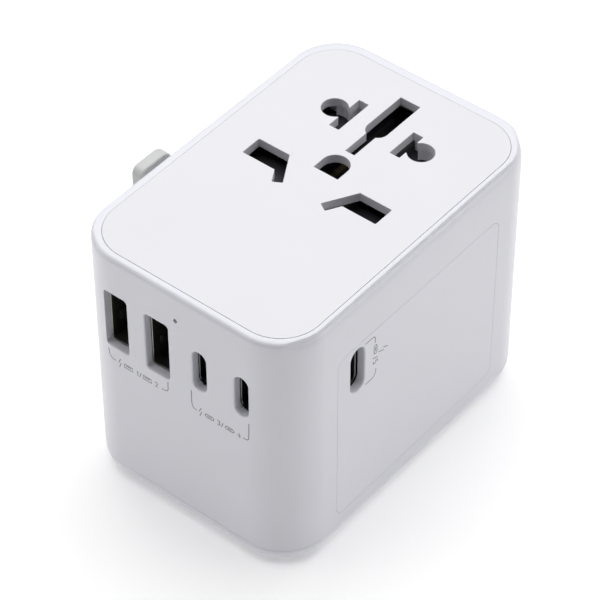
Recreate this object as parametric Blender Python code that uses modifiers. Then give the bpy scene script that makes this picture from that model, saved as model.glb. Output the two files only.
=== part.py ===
"""Universal travel adapter: a socket face on top, USB ports on the front and one side, and three sets
of retractable plug pins that one selector knob pushes out of the base.

Named sizes are in millimetres and the builders scale them to metres. +Z points out of the socket face,
-Y out of the USB face, and the origin is the middle of the base.
"""

import math

import bmesh
import bpy
from mathutils import Matrix, Vector

MM = 0.001
GAP = 0.3
CORNER_STEPS = 7
ROUND_STEPS = 24
SMALL_STEPS = 16

# Case: half sizes, wall and edge sizes
HALF_X = 23.9
HALF_Y = 34.95
HEIGHT = 54.8
WALL = 1.6
CORNER = 9.4
BASE_FILLET = 4.0
FLOOR = 3.0
BEZEL_STEP = 0.5
BEZEL_FILLET = 1.0
BEZEL_TOP = HEIGHT - 3.0
BEZEL_FOOT = HEIGHT - 2.3

# Socket face
FACE_HALF_X = 22.2
FACE_FRONT = -33.3
FACE_BACK = 32.8
FACE_CORNER = 8.2
FACE_THICK = 1.8
LEDGE_IN = 1.5
LEDGE_THICK = 1.2

UK_SLOT = (11.1, 1.61)
UK_SLOT_SIZE = (6.88, 4.48)
AU_SLOT = (6.86, 0.36)
AU_SLOT_REACH = 3.74
AU_SLOT_WIDE = 1.93
AU_TILT = math.radians(30)
US_ROW_Y = 18.58
US_SLOT_X = 6.35
US_SLOT_WIDE = 2.12
US_SLOT_LONG = {-1: 8.5, 1: 6.8}
EU_HOLE_X = 9.5
EU_HOLE_R = 2.47
EARTH_BACK = 28.0
EARTH_HALF = 2.15
EARTH_SHOULDER = 18.6
AU_EARTH_HALF = 0.98
AU_EARTH_FRONT = 10.8
D_FRONT = 4.13
D_CENTRE = 6.78
D_HALF = 2.63

# Walls that hang under the plate behind the US and EU holes; their ends as (x, angle on the EU hole)
COLLAR_LOW = 50.8
COLLAR_SET = 0.15
COLLAR_WALL = 0.8
COLLAR_WIDE = 12.8
COLLAR_ENDS = {-1: (5.3, 58), 1: (5.6, -90)}

# USB ports: centre along the face, height, opening wide and tall
PORT_Z = 39.9
USB_A_X = (-14.2, -5.0)
USB_A_OPEN = (5.2, 12.8)
USB_A_CORNER = 0.8
USB_A_SHELL = (4.9, 12.5)
USB_A_TONGUE = (1.8, 11.0)
USB_A_TONGUE_X = 1.1
USB_C_X = (4.35, 13.45)
USB_C_OPEN = (3.0, 8.9)
USB_C_SHELL = (2.6, 8.4)
USB_C_TONGUE = (0.7, 6.6)
TONGUE_BACK = 0.8
SIDE_PORT_Y = -16.9
SIDE_PORT_Z = 38.6
SIDE_PORT_OPEN = (3.8, 9.9)
PORT_MOUTH = -32.3
PORT_DEPTH = 11.7
SIDE_PORT_DEPTH = 7.6
SHEET = 0.35
LED_SPOT = (-0.54, 48.9)
LED_R = 0.45

# Side panel
PANEL_Y = (-22.1, 22.4)
PANEL_Z = (6.5, 44.4)
PANEL_THICK = 0.9
PANEL_CORNER = 2.0

# Plug sets: heights when retracted, and how far they travel
TRAVEL = 23.0
BAR_LOW = FLOOR + GAP + TRAVEL
BAR_THICK = 3.6
BAR_HIGH = BAR_LOW + BAR_THICK
ARM_X = (-19.5, -17.9)
ARM_TOP = 46.1
UK_Y = -10.6
UK_PIN_X = 11.1
UK_EARTH_Y = UK_Y + 22.2
UK_PIN = (6.35, 4.0, 17.7)
UK_EARTH_PIN = (4.0, 8.0, 22.7)
EU_Y = -4.7
EU_PIN_R = 2.0
EU_PIN_LONG = 19.0
US_Y = 2.2
US_BLADE = (1.5, 6.35, 17.2)
BLADE_OFFSET = 1.02
HUB_R = 2.9
UK_LINK_X = (17.0, 20.4)
UK_BLOCK_X = 3.8
BAR_END_X = 16.0
PIN_SEAT = 0.25
PIN_ROOM = 0.4

# Selector on the left side
FINGER_Y = UK_Y
FINGER_Z = (46.4, 49.4)
FINGER_HALF = 1.3
TRACK_HALF = 1.7
PLATE_X = (-21.7, -20.9)
PLATE_Y = (-26.1, 4.9)
PLATE_Z = (22.4, 50.5)
FLANGE_X = (-20.6, -19.8)
FINGER_SLOT_HALF = 1.6
FLANGE_HALF_Y = 3.6
FLANGE_Z = (45.6, 50.2)
KNOB_X = (-27.9, -25.6)
KNOB_HALF_Y = 4.1
KNOB_Z = (44.6, 53.5)
KNOB_CORNER = 2.4
NECK_X = (-25.8, -24.2)
NECK_HALF_Y = 2.7
NECK_Z = (46.0, 50.2)
BUTTON_X = (-27.5, -26.8)
BUTTON_HALF_Y = 2.3
BUTTON_Z = (46.4, 51.6)
BUTTON_CORNER = 1.4
POCKET_FLOOR = -26.0
BORE_Z = 48.3
BORE_R = 1.5
BORE_END = -24.6

# Inner parts
FRAME_Z = (31.0, 32.4)
BLOCK_Z = (32.7, 49.3)
BLOCK_X = 16.6
BLOCK_Y = (-5.8, 30.4)
BLOCK_WALL = 0.9
SIDE_POCKET_X = 4.0
SIDE_POCKET_BACK = 24.0
EARTH_POCKET_X = 3.1
EARTH_POCKET_FRONT = 3.2
LIVE_PATH = [(-8.0, -2.6), (-15.3, -2.6), (-15.3, 23.3), (-8.6, 23.3)]
EARTH_PATH = [(1.6, 3.8), (-2.6, 3.8), (-2.6, 28.9), (1.6, 28.9)]
STRIP = 0.5
CONTACT_Z = (36.0, 47.0)
SHUTTER_Z = (49.7, 50.5)
SHUTTER_TRAVEL = 9.0
SHUTTER_X = (3.6, 16.3)
SHUTTER_Y = (-13.8, 2.0, 23.6)
UK_WINDOW = ((3.7, 15.2), (-3.8, 4.2))
US_WINDOW = ((4.9, 12.6), (14.0, 22.9))
SPRING_FRONT = -18.5
USB_BOARD_X = 20.4
USB_BOARD_Y = (-20.2, -19.0)
USB_BOARD_Z = (28.6, 50.4)
POWER_BOARD_X = 19.5
POWER_BOARD_Y = (-15.7, -14.5)
POWER_BOARD_Z = (5.0, 28.0)
TRANSFORMER_X = (-5.5, 8.5)
TRANSFORMER_Z = (7.0, 22.0)
TRANSFORMER_DEEP = 13.0
CAPACITORS = ((-12.5, 21.5), (15.0, 21.5))
CAPACITOR_R = 4.4
CAPACITOR_LONG = 12.0
CHOKE_PLACE = (-12.5, 10.5)
CHOKE_R = 5.0
CHOKE_BORE_R = 2.2
CHOKE_LONG = 6.0
LED_BACK = -30.6
LED_FLANGE_R = 1.2
LED_FLANGE_BACK = -31.0

# Fuse drawer in the base, and the base screws
DRAWER_X = 12.2
DRAWER_Y = (20.0, 28.0)
DRAWER_TOP = 8.0
DRAWER_WALL = 0.9
DRAWER_BASE = 2.2
FUSE_R = 2.6
FUSE_HALF = 10.0
SCREW_X = 15.8
SCREW_Y = 27.3
SCREW_R = 1.2
SCREW_Z = (1.0, 12.0)
SCREW_HEAD_R = 2.2
SCREW_HEAD_Z = (0.3, 1.6)
RECESS_R = 0.9
RECESS_TOP = 1.0
PILOT_TOP = 13.5
HEAD_ROOM_TOP = 1.9
BOSS_HALF = (2.8, 3.0)
BOSS_TOP = 16.0

WHITE = (0.86, 0.86, 0.88)
FACE_WHITE = (0.84, 0.84, 0.86)
KNOB_GREY = (0.62, 0.63, 0.62)
BLACK = (0.02, 0.02, 0.025)
NICKEL = (0.72, 0.72, 0.73)
BRASS = (0.78, 0.62, 0.30)
BOARD = (0.03, 0.20, 0.10)
TAPE = (0.85, 0.65, 0.12)
FERRITE = (0.09, 0.09, 0.10)
CERAMIC = (0.90, 0.89, 0.86)
SMOKE = (0.75, 0.85, 0.80)


# Scene and materials


def clear_scene():
    for obj in list(bpy.data.objects):
        bpy.data.objects.remove(obj)


def new_collection(name, hidden):
    made = bpy.data.collections.new(name)
    made.hide_render = hidden
    bpy.context.scene.collection.children.link(made)
    return made


def material(name, colour, roughness, metallic=0.0):
    made = bpy.data.materials.new(name)
    made.use_nodes = True
    shader = made.node_tree.nodes["Principled BSDF"]
    shader.inputs["Base Color"].default_value = (*colour, 1.0)
    shader.inputs["Roughness"].default_value = roughness
    shader.inputs["Metallic"].default_value = metallic
    return made


def body(name, origin=(0, 0, 0), parent=None):
    """An empty that carries the pieces of one rigid body; a moving body's origin lies on its axis."""
    made = bpy.data.objects.new(name + "_body", None)
    PARTS.objects.link(made)
    place = Vector(origin) * MM
    made["place"] = place
    if parent:
        made.parent = parent
        made.location = place - Vector(parent["place"])
    else:
        made.location = place
    return made


# Outlines, as lists of points in one plane


def arc(centre, radius, start, end, steps):
    """Points on a circle from the start angle to the end angle, in degrees."""
    angles = [math.radians(start + (end - start) * i / steps) for i in range(steps + 1)]
    return [(centre[0] + radius * math.cos(a), centre[1] + radius * math.sin(a)) for a in angles]


def circle(centre, radius, steps=ROUND_STEPS):
    return arc(centre, radius, 0, 360, steps)[:-1]


def rectangle(x_span, y_span):
    return [(x_span[0], y_span[0]), (x_span[1], y_span[0]), (x_span[1], y_span[1]), (x_span[0], y_span[1])]


def about(centre, size):
    """A rectangle from its centre and its size."""
    half = (size[0] / 2, size[1] / 2)
    return rectangle((centre[0] - half[0], centre[0] + half[0]), (centre[1] - half[1], centre[1] + half[1]))


def rounded(x_span, y_span, radius, steps=CORNER_STEPS):
    low_x, high_x = x_span[0] + radius, x_span[1] - radius
    low_y, high_y = y_span[0] + radius, y_span[1] - radius
    points = arc((high_x, low_y), radius, -90, 0, steps)
    points += arc((high_x, high_y), radius, 0, 90, steps)
    points += arc((low_x, high_y), radius, 90, 180, steps)
    points += arc((low_x, low_y), radius, 180, 270, steps)
    return points


def rounded_about(centre, size, radius, steps=CORNER_STEPS):
    half = (size[0] / 2, size[1] / 2)
    x_span = (centre[0] - half[0], centre[0] + half[0])
    y_span = (centre[1] - half[1], centre[1] + half[1])
    return rounded(x_span, y_span, radius, steps)


def mirrored(points):
    return [(-x, y) for x, y in reversed(points)]


def ring(half_x, front, back, radius, z):
    return [(x, y, z) for x, y in rounded((-half_x, half_x), (front, back), radius)]


def uk_au_slot():
    """The left UK pin hole with the slanted AU slot that leads out of its inner end."""
    (centre_x, centre_y), (wide, tall) = UK_SLOT, UK_SLOT_SIZE
    low, high = centre_y - tall / 2, centre_y + tall / 2
    outer, inner = -centre_x - wide / 2, -centre_x + wide / 2
    along = Vector((math.sin(AU_TILT), -math.cos(AU_TILT)))
    across = Vector((math.cos(AU_TILT), math.sin(AU_TILT))) * (AU_SLOT_WIDE / 2)
    end = Vector((-AU_SLOT[0], AU_SLOT[1])) + along * AU_SLOT_REACH
    far, near = end + across, end - across
    join_high = far + along * ((inner - far.x) / along.x)
    join_low = near + along * ((low - near.y) / along.y)
    slanted = [tuple(point) for point in (join_low, near, far, join_high)]
    return [(outer, low), *slanted, (inner, high), (outer, high)]


def us_eu_hole(side):
    """A US blade slot merged with the EU round hole beside it, on the left (-1) or the right (1)."""
    outer = US_SLOT_X + US_SLOT_WIDE / 2
    inner = US_SLOT_X - US_SLOT_WIDE / 2
    half = US_SLOT_LONG[side] / 2
    meet = math.degrees(math.acos((outer - EU_HOLE_X) / EU_HOLE_R))
    points = [(inner, US_ROW_Y - half), (outer, US_ROW_Y - half)]
    points += arc((EU_HOLE_X, US_ROW_Y), EU_HOLE_R, -meet, meet, ROUND_STEPS - 4)
    points += [(outer, US_ROW_Y + half), (inner, US_ROW_Y + half)]
    return points if side > 0 else mirrored(points)


def collar_outline(side):
    """The wall behind a US and EU hole, set back a little from the hole's edge."""
    outer = US_SLOT_X + US_SLOT_WIDE / 2 + COLLAR_SET
    back = US_ROW_Y + US_SLOT_LONG[side] / 2 + COLLAR_SET
    centre, radius = (EU_HOLE_X, US_ROW_Y), EU_HOLE_R + COLLAR_SET
    start, end = COLLAR_ENDS[side]
    meet = math.degrees(math.acos((outer - EU_HOLE_X) / radius))
    points = [(start, back), (outer, back)] + arc(centre, radius, meet, end, SMALL_STEPS)
    points += arc(centre, radius + COLLAR_WALL, end, end, 1)[:1]
    points += [(COLLAR_WIDE, points[-1][1]), (COLLAR_WIDE, back + COLLAR_WALL), (start, back + COLLAR_WALL)]
    return points if side > 0 else mirrored(points)


def earth_hole():
    """The UK earth hole with a rounded front end and the narrow AU earth slot in front of it."""
    drop = math.degrees(math.acos(AU_EARTH_HALF / EARTH_HALF))
    points = [(-AU_EARTH_HALF, AU_EARTH_FRONT), (AU_EARTH_HALF, AU_EARTH_FRONT)]
    points += arc((0, EARTH_SHOULDER), EARTH_HALF, -drop, 0, 5)
    points += [(EARTH_HALF, EARTH_BACK), (-EARTH_HALF, EARTH_BACK)]
    points += arc((0, EARTH_SHOULDER), EARTH_HALF, 180, 180 + drop, 5)
    return points


def d_hole():
    return [(-D_HALF, D_FRONT), (D_HALF, D_FRONT)] + arc((0, D_CENTRE), D_HALF, 0, 180, SMALL_STEPS)


# Solids


def finish(obj, body_of, look, world_matrix):
    """Puts an object in the parts, on its body, where the world matrix says."""
    obj.data.materials.append(look)
    PARTS.objects.link(obj)
    obj.parent = body_of
    obj.matrix_parent_inverse = Matrix.Identity(4)
    obj.matrix_basis = Matrix.Translation(-Vector(body_of["place"])) @ world_matrix
    return obj


def mesh_object(name, bm, body_of, look):
    """A mesh whose points are world places in millimetres, with its origin at its body's."""
    bmesh.ops.scale(bm, vec=(MM, MM, MM), verts=bm.verts)
    bmesh.ops.translate(bm, vec=-Vector(body_of["place"]), verts=bm.verts)
    bmesh.ops.recalc_face_normals(bm, faces=bm.faces)
    data = bpy.data.meshes.new(name)
    bm.to_mesh(data)
    bm.free()
    return finish(bpy.data.objects.new(name, data), body_of, look, Matrix.Translation(Vector(body_of["place"])))


def loft(name, rings, body_of, look, closed=False):
    """A skin over rings of equal count: closed joins the last to the first, otherwise both ends are capped."""
    bm = bmesh.new()
    rows = [[bm.verts.new(point) for point in points] for points in rings]
    pairs = list(zip(rows, rows[1:]))
    if closed:
        pairs.append((rows[-1], rows[0]))
    for low, high in pairs:
        for i in range(len(low)):
            j = (i + 1) % len(low)
            bm.faces.new((low[i], low[j], high[j], high[i]))
    if not closed:
        bm.faces.new(reversed(rows[0]))
        bm.faces.new(rows[-1])
    return mesh_object(name, bm, body_of, look)


def block(name, x_span, y_span, z_span, body_of, look):
    bm = bmesh.new()
    spans = (x_span, y_span, z_span)
    size = [abs(high - low) for low, high in spans]
    centre = [(low + high) / 2 for low, high in spans]
    bmesh.ops.create_cube(bm, size=1.0, matrix=Matrix.Translation(centre) @ Matrix.Diagonal((*size, 1.0)))
    return mesh_object(name, bm, body_of, look)


AXES = {
    "X": Matrix(((0, 0, 1), (1, 0, 0), (0, 1, 0))),
    "Y": Matrix(((1, 0, 0), (0, 0, -1), (0, 1, 0))),
    "Z": Matrix.Identity(3),
}


def extrusion(name, outlines, axis, span, body_of, look):
    """A flat outline with its holes, drawn in YZ, XZ or XY, and extruded along the axis over the span."""
    data = bpy.data.curves.new(name, "CURVE")
    data.dimensions = "2D"
    data.fill_mode = "BOTH"
    data.extrude = abs(span[1] - span[0]) / 2 * MM
    for points in outlines:
        spline = data.splines.new("POLY")
        spline.points.add(len(points) - 1)
        for point, (u, v) in zip(spline.points, points):
            point.co = (u * MM, v * MM, 0, 1)
        spline.use_cyclic_u = True
    middle = Vector((0, 0, 0))
    middle["XYZ".index(axis)] = (span[0] + span[1]) / 2 * MM
    turn = AXES[axis].to_4x4()
    return finish(bpy.data.objects.new(name, data), body_of, look, Matrix.Translation(middle) @ turn)


def as_mesh(obj):
    """The same object as a closed mesh, so that a Boolean can take it."""
    bpy.context.view_layer.update()
    graph = bpy.context.evaluated_depsgraph_get()
    data = bpy.data.meshes.new_from_object(obj.evaluated_get(graph))
    bm = bmesh.new()
    bm.from_mesh(data)
    bmesh.ops.remove_doubles(bm, verts=bm.verts, dist=1e-6)
    bmesh.ops.recalc_face_normals(bm, faces=bm.faces)
    bm.to_mesh(data)
    bm.free()
    name, parent, basis = obj.name, obj.parent, obj.matrix_basis.copy()
    bpy.data.objects.remove(obj)
    made = bpy.data.objects.new(name, data)
    PARTS.objects.link(made)
    made.parent = parent
    made.matrix_basis = basis
    return made


def cylinder(name, axis, centre, span, radius, body_of, look, steps=ROUND_STEPS):
    """A round bar along an axis; centre holds its two other coordinates."""
    middle, length = (span[0] + span[1]) / 2, abs(span[1] - span[0])
    place = {"X": (middle, *centre), "Y": (centre[0], middle, centre[1]), "Z": (*centre, middle)}[axis]
    bm = bmesh.new()
    matrix = Matrix.Translation(place) @ AXES[axis].to_4x4()
    bmesh.ops.create_cone(
        bm, cap_ends=True, segments=steps, radius1=radius, radius2=radius, depth=length, matrix=matrix
    )
    return mesh_object(name, bm, body_of, look)


def boolean(target, tool, operation):
    """Cuts the tool from the target, or joins it on, and puts the tool with the hidden cutters."""
    modifier = target.modifiers.new(tool.name, "BOOLEAN")
    modifier.operation = operation
    modifier.object = tool
    PARTS.objects.unlink(tool)
    CUTTERS.objects.link(tool)
    tool.hide_render = True
    tool.display_type = "WIRE"


def cut(target, *tools):
    for tool in tools:
        boolean(target, tool, "DIFFERENCE")


def join(target, *tools):
    for tool in tools:
        boolean(target, tool, "UNION")


def opening(name, outline, axis, span):
    return as_mesh(extrusion(name, [outline], axis, span, CASE, PLASTIC))


def coil(name, start, end, radius, wire, turns, body_of, look):
    """A small coil spring from start to end along one axis."""
    start, end = Vector(start), Vector(end)
    axis = (end - start).normalized()
    side = axis.orthogonal().normalized()
    other = axis.cross(side)
    data = bpy.data.curves.new(name, "CURVE")
    data.dimensions = "3D"
    data.bevel_depth = wire * MM
    data.bevel_resolution = 1
    data.use_fill_caps = True
    per_turn = 10
    count = turns * per_turn
    spline = data.splines.new("POLY")
    spline.points.add(count)
    for i, point in enumerate(spline.points):
        angle = 2 * math.pi * i / per_turn
        place = start.lerp(end, i / count) + (side * math.cos(angle) + other * math.sin(angle)) * radius
        point.co = (*(place * MM), 1)
    return finish(bpy.data.objects.new(name, data), body_of, look, Matrix.Identity(4))


# The case


def main_shell():
    """The side walls, from the base seam to the bezel round the socket face, with the ledge under it."""
    front, back = -HALF_Y, HALF_Y
    bezel_x, bezel_back = HALF_X - BEZEL_STEP, HALF_Y - BEZEL_STEP
    inner = HALF_X - WALL
    rim_x, rim_front, rim_back = FACE_HALF_X + GAP / 2, FACE_FRONT - GAP / 2, FACE_BACK + GAP / 2
    ledge_top = HEIGHT - FACE_THICK - GAP
    ledge_low = ledge_top - LEDGE_THICK
    ledge = (FACE_HALF_X - LEDGE_IN, FACE_FRONT + LEDGE_IN, FACE_BACK - LEDGE_IN, FACE_CORNER - LEDGE_IN)
    bezel = (bezel_x, front, bezel_back, CORNER - BEZEL_STEP / 2)
    rings = [ring(HALF_X, front, back, CORNER, BASE_FILLET + GAP)]
    rings.append(ring(HALF_X, front, back, CORNER, BEZEL_TOP - BEZEL_STEP))
    rings.append(ring(*bezel, BEZEL_FOOT))
    rings.append(ring(*bezel, HEIGHT - BEZEL_FILLET))
    for angle in (30, 60, 90):
        turn = math.radians(angle)
        inset = BEZEL_FILLET * (1 - math.cos(turn)) * 0.8
        rise = BEZEL_FILLET * (math.sin(turn) - 1)
        spans = (bezel_x - inset, front + inset, bezel_back - inset, bezel[3] - inset)
        rings.append(ring(*spans, HEIGHT + rise))
    rings.append(ring(rim_x, rim_front, rim_back, FACE_CORNER + GAP / 2, HEIGHT))
    rings.append(ring(rim_x, rim_front, rim_back, FACE_CORNER + GAP / 2, ledge_top))
    rings.append(ring(*ledge, ledge_top))
    rings.append(ring(*ledge, ledge_low))
    rings.append(ring(inner, front + WALL, back - WALL, CORNER - WALL, ledge_low))
    rings.append(ring(inner, front + WALL, back - WALL, CORNER - WALL, BASE_FILLET + GAP))
    shell = loft("main_shell", rings, CASE, PLASTIC, closed=True)
    for side_x in (-1, 1):
        for side_y in (-1, 1):
            top = BOSS_TOP if side_y < 0 else FRAME_Z[0] - GAP
            x_span = sorted((side_x * (SCREW_X - BOSS_HALF[0]), side_x * (inner - 0.1)))
            y_span = sorted((side_y * (SCREW_Y - BOSS_HALF[1]), side_y * (SCREW_Y + BOSS_HALF[1])))
            boss = block("boss_post", x_span, y_span, (BASE_FILLET + GAP, top), CASE, PLASTIC)
            join(shell, boss)
    return shell


def comb_outline():
    """The selector's track: a level run with one downward track for each plug set, in Y and Z."""
    top, foot = FINGER_Z[1] + GAP, FINGER_Z[0] - TRAVEL - GAP
    level = FINGER_Z[0] - GAP
    points = [(US_Y + TRACK_HALF, top), (UK_Y - TRACK_HALF, top)]
    for centre in (UK_Y, EU_Y, US_Y):
        left, right = centre - TRACK_HALF, centre + TRACK_HALF
        points += [(left, level), (left, foot), (right, foot), (right, level)]
    first_level, last_level = 2, -1
    return points[:first_level] + points[first_level + 1 : last_level]


def case_parts():
    shell = main_shell()
    outer = (-HALF_Y - 1, -HALF_Y + WALL + 1)
    for i, centre in enumerate(USB_A_X):
        outline = rounded_about((centre, PORT_Z), USB_A_OPEN, USB_A_CORNER, 3)
        cut(shell, opening(f"port_cut_a{i}", outline, "Y", outer))
    for i, centre in enumerate(USB_C_X):
        outline = rounded_about((centre, PORT_Z), USB_C_OPEN, USB_C_OPEN[0] / 2 - 0.05, 5)
        cut(shell, opening(f"port_cut_c{i}", outline, "Y", outer))
    cut(shell, opening("led_cut", circle(LED_SPOT, LED_R + 0.15, 10), "Y", outer))
    side_outline = rounded_about((SIDE_PORT_Y, SIDE_PORT_Z), SIDE_PORT_OPEN, SIDE_PORT_OPEN[0] / 2 - 0.05, 5)
    cut(shell, opening("side_port_cut", side_outline, "X", (HALF_X - WALL - 1, HALF_X + 1)))
    room = 0.2
    recess_y, recess_z = (PANEL_Y[0] - room, PANEL_Y[1] + room), (PANEL_Z[0] - room, PANEL_Z[1] + room)
    recess = rounded(recess_y, recess_z, PANEL_CORNER, 4)
    cut(shell, opening("panel_recess", recess, "X", (HALF_X - PANEL_THICK - room, HALF_X + 1)))
    cut(shell, opening("comb_cut", comb_outline(), "X", (-HALF_X - 1, -HALF_X + WALL + 1)))
    for side_x in (-1, 1):
        for side_y in (-1, 1):
            centre = (side_x * SCREW_X, side_y * SCREW_Y)
            cut(shell, opening("pilot_cut", circle(centre, SCREW_R + GAP, 12), "Z", (0, PILOT_TOP)))

    panel = rounded(PANEL_Y, PANEL_Z, PANEL_CORNER - room, 4)
    extrusion("right_side_panel", [panel, side_outline], "X", (HALF_X - PANEL_THICK, HALF_X), CASE, PLASTIC)

    left_slot, left_us = uk_au_slot(), us_eu_hole(-1)
    holes = [left_slot, mirrored(left_slot), left_us, us_eu_hole(1), earth_hole(), d_hole()]
    face = rounded((-FACE_HALF_X, FACE_HALF_X), (FACE_FRONT, FACE_BACK), FACE_CORNER)
    under = HEIGHT - FACE_THICK
    plate = as_mesh(extrusion("socket_face_plate", [face], "Z", (under, HEIGHT), CASE, FACE))
    collar_z = (COLLAR_LOW, under + FACE_THICK / 4)
    for side in (-1, 1):
        join(plate, as_mesh(extrusion("collar", [collar_outline(side)], "Z", collar_z, CASE, FACE)))
    for i, hole in enumerate(holes):
        cut(plate, opening(f"socket_hole_{i}", hole, "Z", (under - 1, HEIGHT + 1)))


def bottom_cover():
    """The base tray with a rounded foot edge, pin openings, fuse opening and screw holes."""
    rings = []
    for angle in (0, 22.5, 45, 67.5, 90):
        turn = math.radians(angle)
        inset = BASE_FILLET * (1 - math.sin(turn))
        rise = BASE_FILLET * (1 - math.cos(turn))
        rings.append(ring(HALF_X - inset, -HALF_Y + inset, HALF_Y - inset, CORNER - inset, rise))
    rings.append(ring(HALF_X - WALL, -HALF_Y + WALL, HALF_Y - WALL, CORNER - WALL, BASE_FILLET))
    rings.append(ring(HALF_X - WALL, -HALF_Y + WALL, HALF_Y - WALL, CORNER - WALL, FLOOR))
    cover = loft("bottom_cover", rings, CASE, PLASTIC)
    through = (-1, FLOOR + 1)
    room = PIN_ROOM
    for side in (-1, 1):
        uk_hole = about((side * UK_PIN_X, UK_Y), (UK_PIN[0] + 2 * room, UK_PIN[1] + 2 * room))
        cut(cover, opening("uk_hole", uk_hole, "Z", through))
        cut(cover, opening("eu_hole", circle((side * EU_HOLE_X, EU_Y), EU_PIN_R + room, 20), "Z", through))
        cut(cover, blade_opening(side, room, through))
    earth = about((0, UK_EARTH_Y), (UK_EARTH_PIN[0] + 2 * room, UK_EARTH_PIN[1] + 2 * room))
    cut(cover, opening("uk_earth_opening", earth, "Z", through))
    drawer = rectangle((-DRAWER_X - GAP, DRAWER_X + GAP), (DRAWER_Y[0] - GAP, DRAWER_Y[1] + GAP))
    cut(cover, opening("drawer_cut", drawer, "Z", through))
    for side_x in (-1, 1):
        for side_y in (-1, 1):
            centre = (side_x * SCREW_X, side_y * SCREW_Y)
            cut(cover, opening("screw_cut", circle(centre, SCREW_R + GAP, 12), "Z", through))
            cut(cover, opening("head_cut", circle(centre, SCREW_HEAD_R + GAP), "Z", (-1, HEAD_ROOM_TOP)))
    return cover


def blade_opening(side, room, through):
    """The fan that a US blade sweeps as it twists to the AU angle."""
    pivot = Vector((side * US_SLOT_X, US_Y - BLADE_OFFSET))
    half, reach = US_BLADE[0] / 2 + room, US_BLADE[1] / 2 + room
    low, high = BLADE_OFFSET - reach, BLADE_OFFSET + reach
    points = []
    for share in (0, 0.5, 1):
        turn = Matrix.Rotation(side * -AU_TILT * share, 2)
        points += [tuple(pivot + turn @ Vector(corner)) for corner in rectangle((-half, half), (low, high))]
    return opening(f"us_hole_{side}", hull(points), "Z", through)


def hull(points):
    """The convex outline of some points, anticlockwise."""
    points = sorted(set(points))

    def half(run):
        kept = []
        for p in run:
            while len(kept) > 1 and cross(kept[-2], kept[-1], p) <= 0:
                kept.pop()
            kept.append(p)
        return kept[:-1]

    return half(points) + half(points[::-1])


def cross(a, b, c):
    return (b[0] - a[0]) * (c[1] - a[1]) - (b[1] - a[1]) * (c[0] - a[0])


def screws():
    for i, (side_x, side_y) in enumerate(((-1, -1), (1, -1), (-1, 1), (1, 1)), 1):
        centre = (side_x * SCREW_X, side_y * SCREW_Y)
        screw = cylinder(f"base_screw_{i}", "Z", centre, SCREW_Z, SCREW_R, CASE, METAL, 12)
        head = cylinder("screw_head", "Z", centre, SCREW_HEAD_Z, SCREW_HEAD_R, CASE, METAL)
        slot = cylinder("driver_recess", "Z", centre, (-1, RECESS_TOP), RECESS_R, CASE, METAL, 6)
        join(screw, head)
        cut(screw, slot)


# USB ports and electronics


def port(name, axis, centre, size, corner, span, look):
    """A sheet metal port shell round an opening, as a tube along the axis."""
    grown = (size[0] + 2 * SHEET, size[1] + 2 * SHEET)
    outlines = [rounded_about(centre, grown, corner + SHEET, 5), rounded_about(centre, size, corner, 5)]
    extrusion(name, outlines, axis, span, CASE, look)


def usb_ports():
    a_corner, c_corner = 0.4, 1.25
    deep = PORT_MOUTH + PORT_DEPTH
    for i, centre in enumerate(USB_A_X, 1):
        port(f"usb_a{i}_shell", "Y", (centre, PORT_Z), USB_A_SHELL, a_corner, (PORT_MOUTH, deep), METAL)
        tongue = about((centre + USB_A_TONGUE_X, PORT_Z), USB_A_TONGUE)
        extrusion(f"usb_a{i}_tongue", [tongue], "Y", (PORT_MOUTH + TONGUE_BACK, deep), CASE, DARK)
    for i, centre in enumerate(USB_C_X, 1):
        port(f"usb_c{i}_shell", "Y", (centre, PORT_Z), USB_C_SHELL, c_corner, (PORT_MOUTH, deep), METAL)
        tongue = about((centre, PORT_Z), USB_C_TONGUE)
        extrusion(f"usb_c{i}_tongue", [tongue], "Y", (PORT_MOUTH + TONGUE_BACK, deep), CASE, DARK)
    mouth = HALF_X - WALL - GAP
    side_port = (SIDE_PORT_Y, SIDE_PORT_Z)
    port("usb_c3_shell", "X", side_port, USB_C_SHELL, c_corner, (mouth - SIDE_PORT_DEPTH, mouth), METAL)
    span = (mouth - SIDE_PORT_DEPTH, mouth - TONGUE_BACK)
    extrusion("usb_c3_tongue", [about(side_port, USB_C_TONGUE)], "X", span, CASE, DARK)


def electronics():
    block("usb_board", (-USB_BOARD_X, USB_BOARD_X), USB_BOARD_Y, USB_BOARD_Z, CASE, PCB)
    block("power_board", (-POWER_BOARD_X, POWER_BOARD_X), POWER_BOARD_Y, POWER_BOARD_Z, CASE, PCB)
    back = POWER_BOARD_Y[0] - GAP
    block("transformer", TRANSFORMER_X, (back - TRANSFORMER_DEEP, back), TRANSFORMER_Z, CASE, YELLOW)
    for i, centre in enumerate(CAPACITORS, 1):
        cylinder(f"capacitor_{i}", "Y", centre, (back - CAPACITOR_LONG, back), CAPACITOR_R, CASE, DARK)
    choke = cylinder("choke", "Y", CHOKE_PLACE, (back - CHOKE_LONG, back), CHOKE_R, CASE, CORE)
    bore = (back - CHOKE_LONG - 1, back + 1)
    cut(choke, cylinder("choke_hole", "Y", CHOKE_PLACE, bore, CHOKE_BORE_R, CASE, CORE, SMALL_STEPS))
    lens = cylinder("led_lens", "Y", LED_SPOT, (-HALF_Y + 0.1, LED_BACK), LED_R - 0.15, CASE, CLEAR, 10)
    flange = (-HALF_Y + WALL + GAP, LED_FLANGE_BACK)
    join(lens, cylinder("led_flange", "Y", LED_SPOT, flange, LED_FLANGE_R, CASE, CLEAR, 12))


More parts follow.
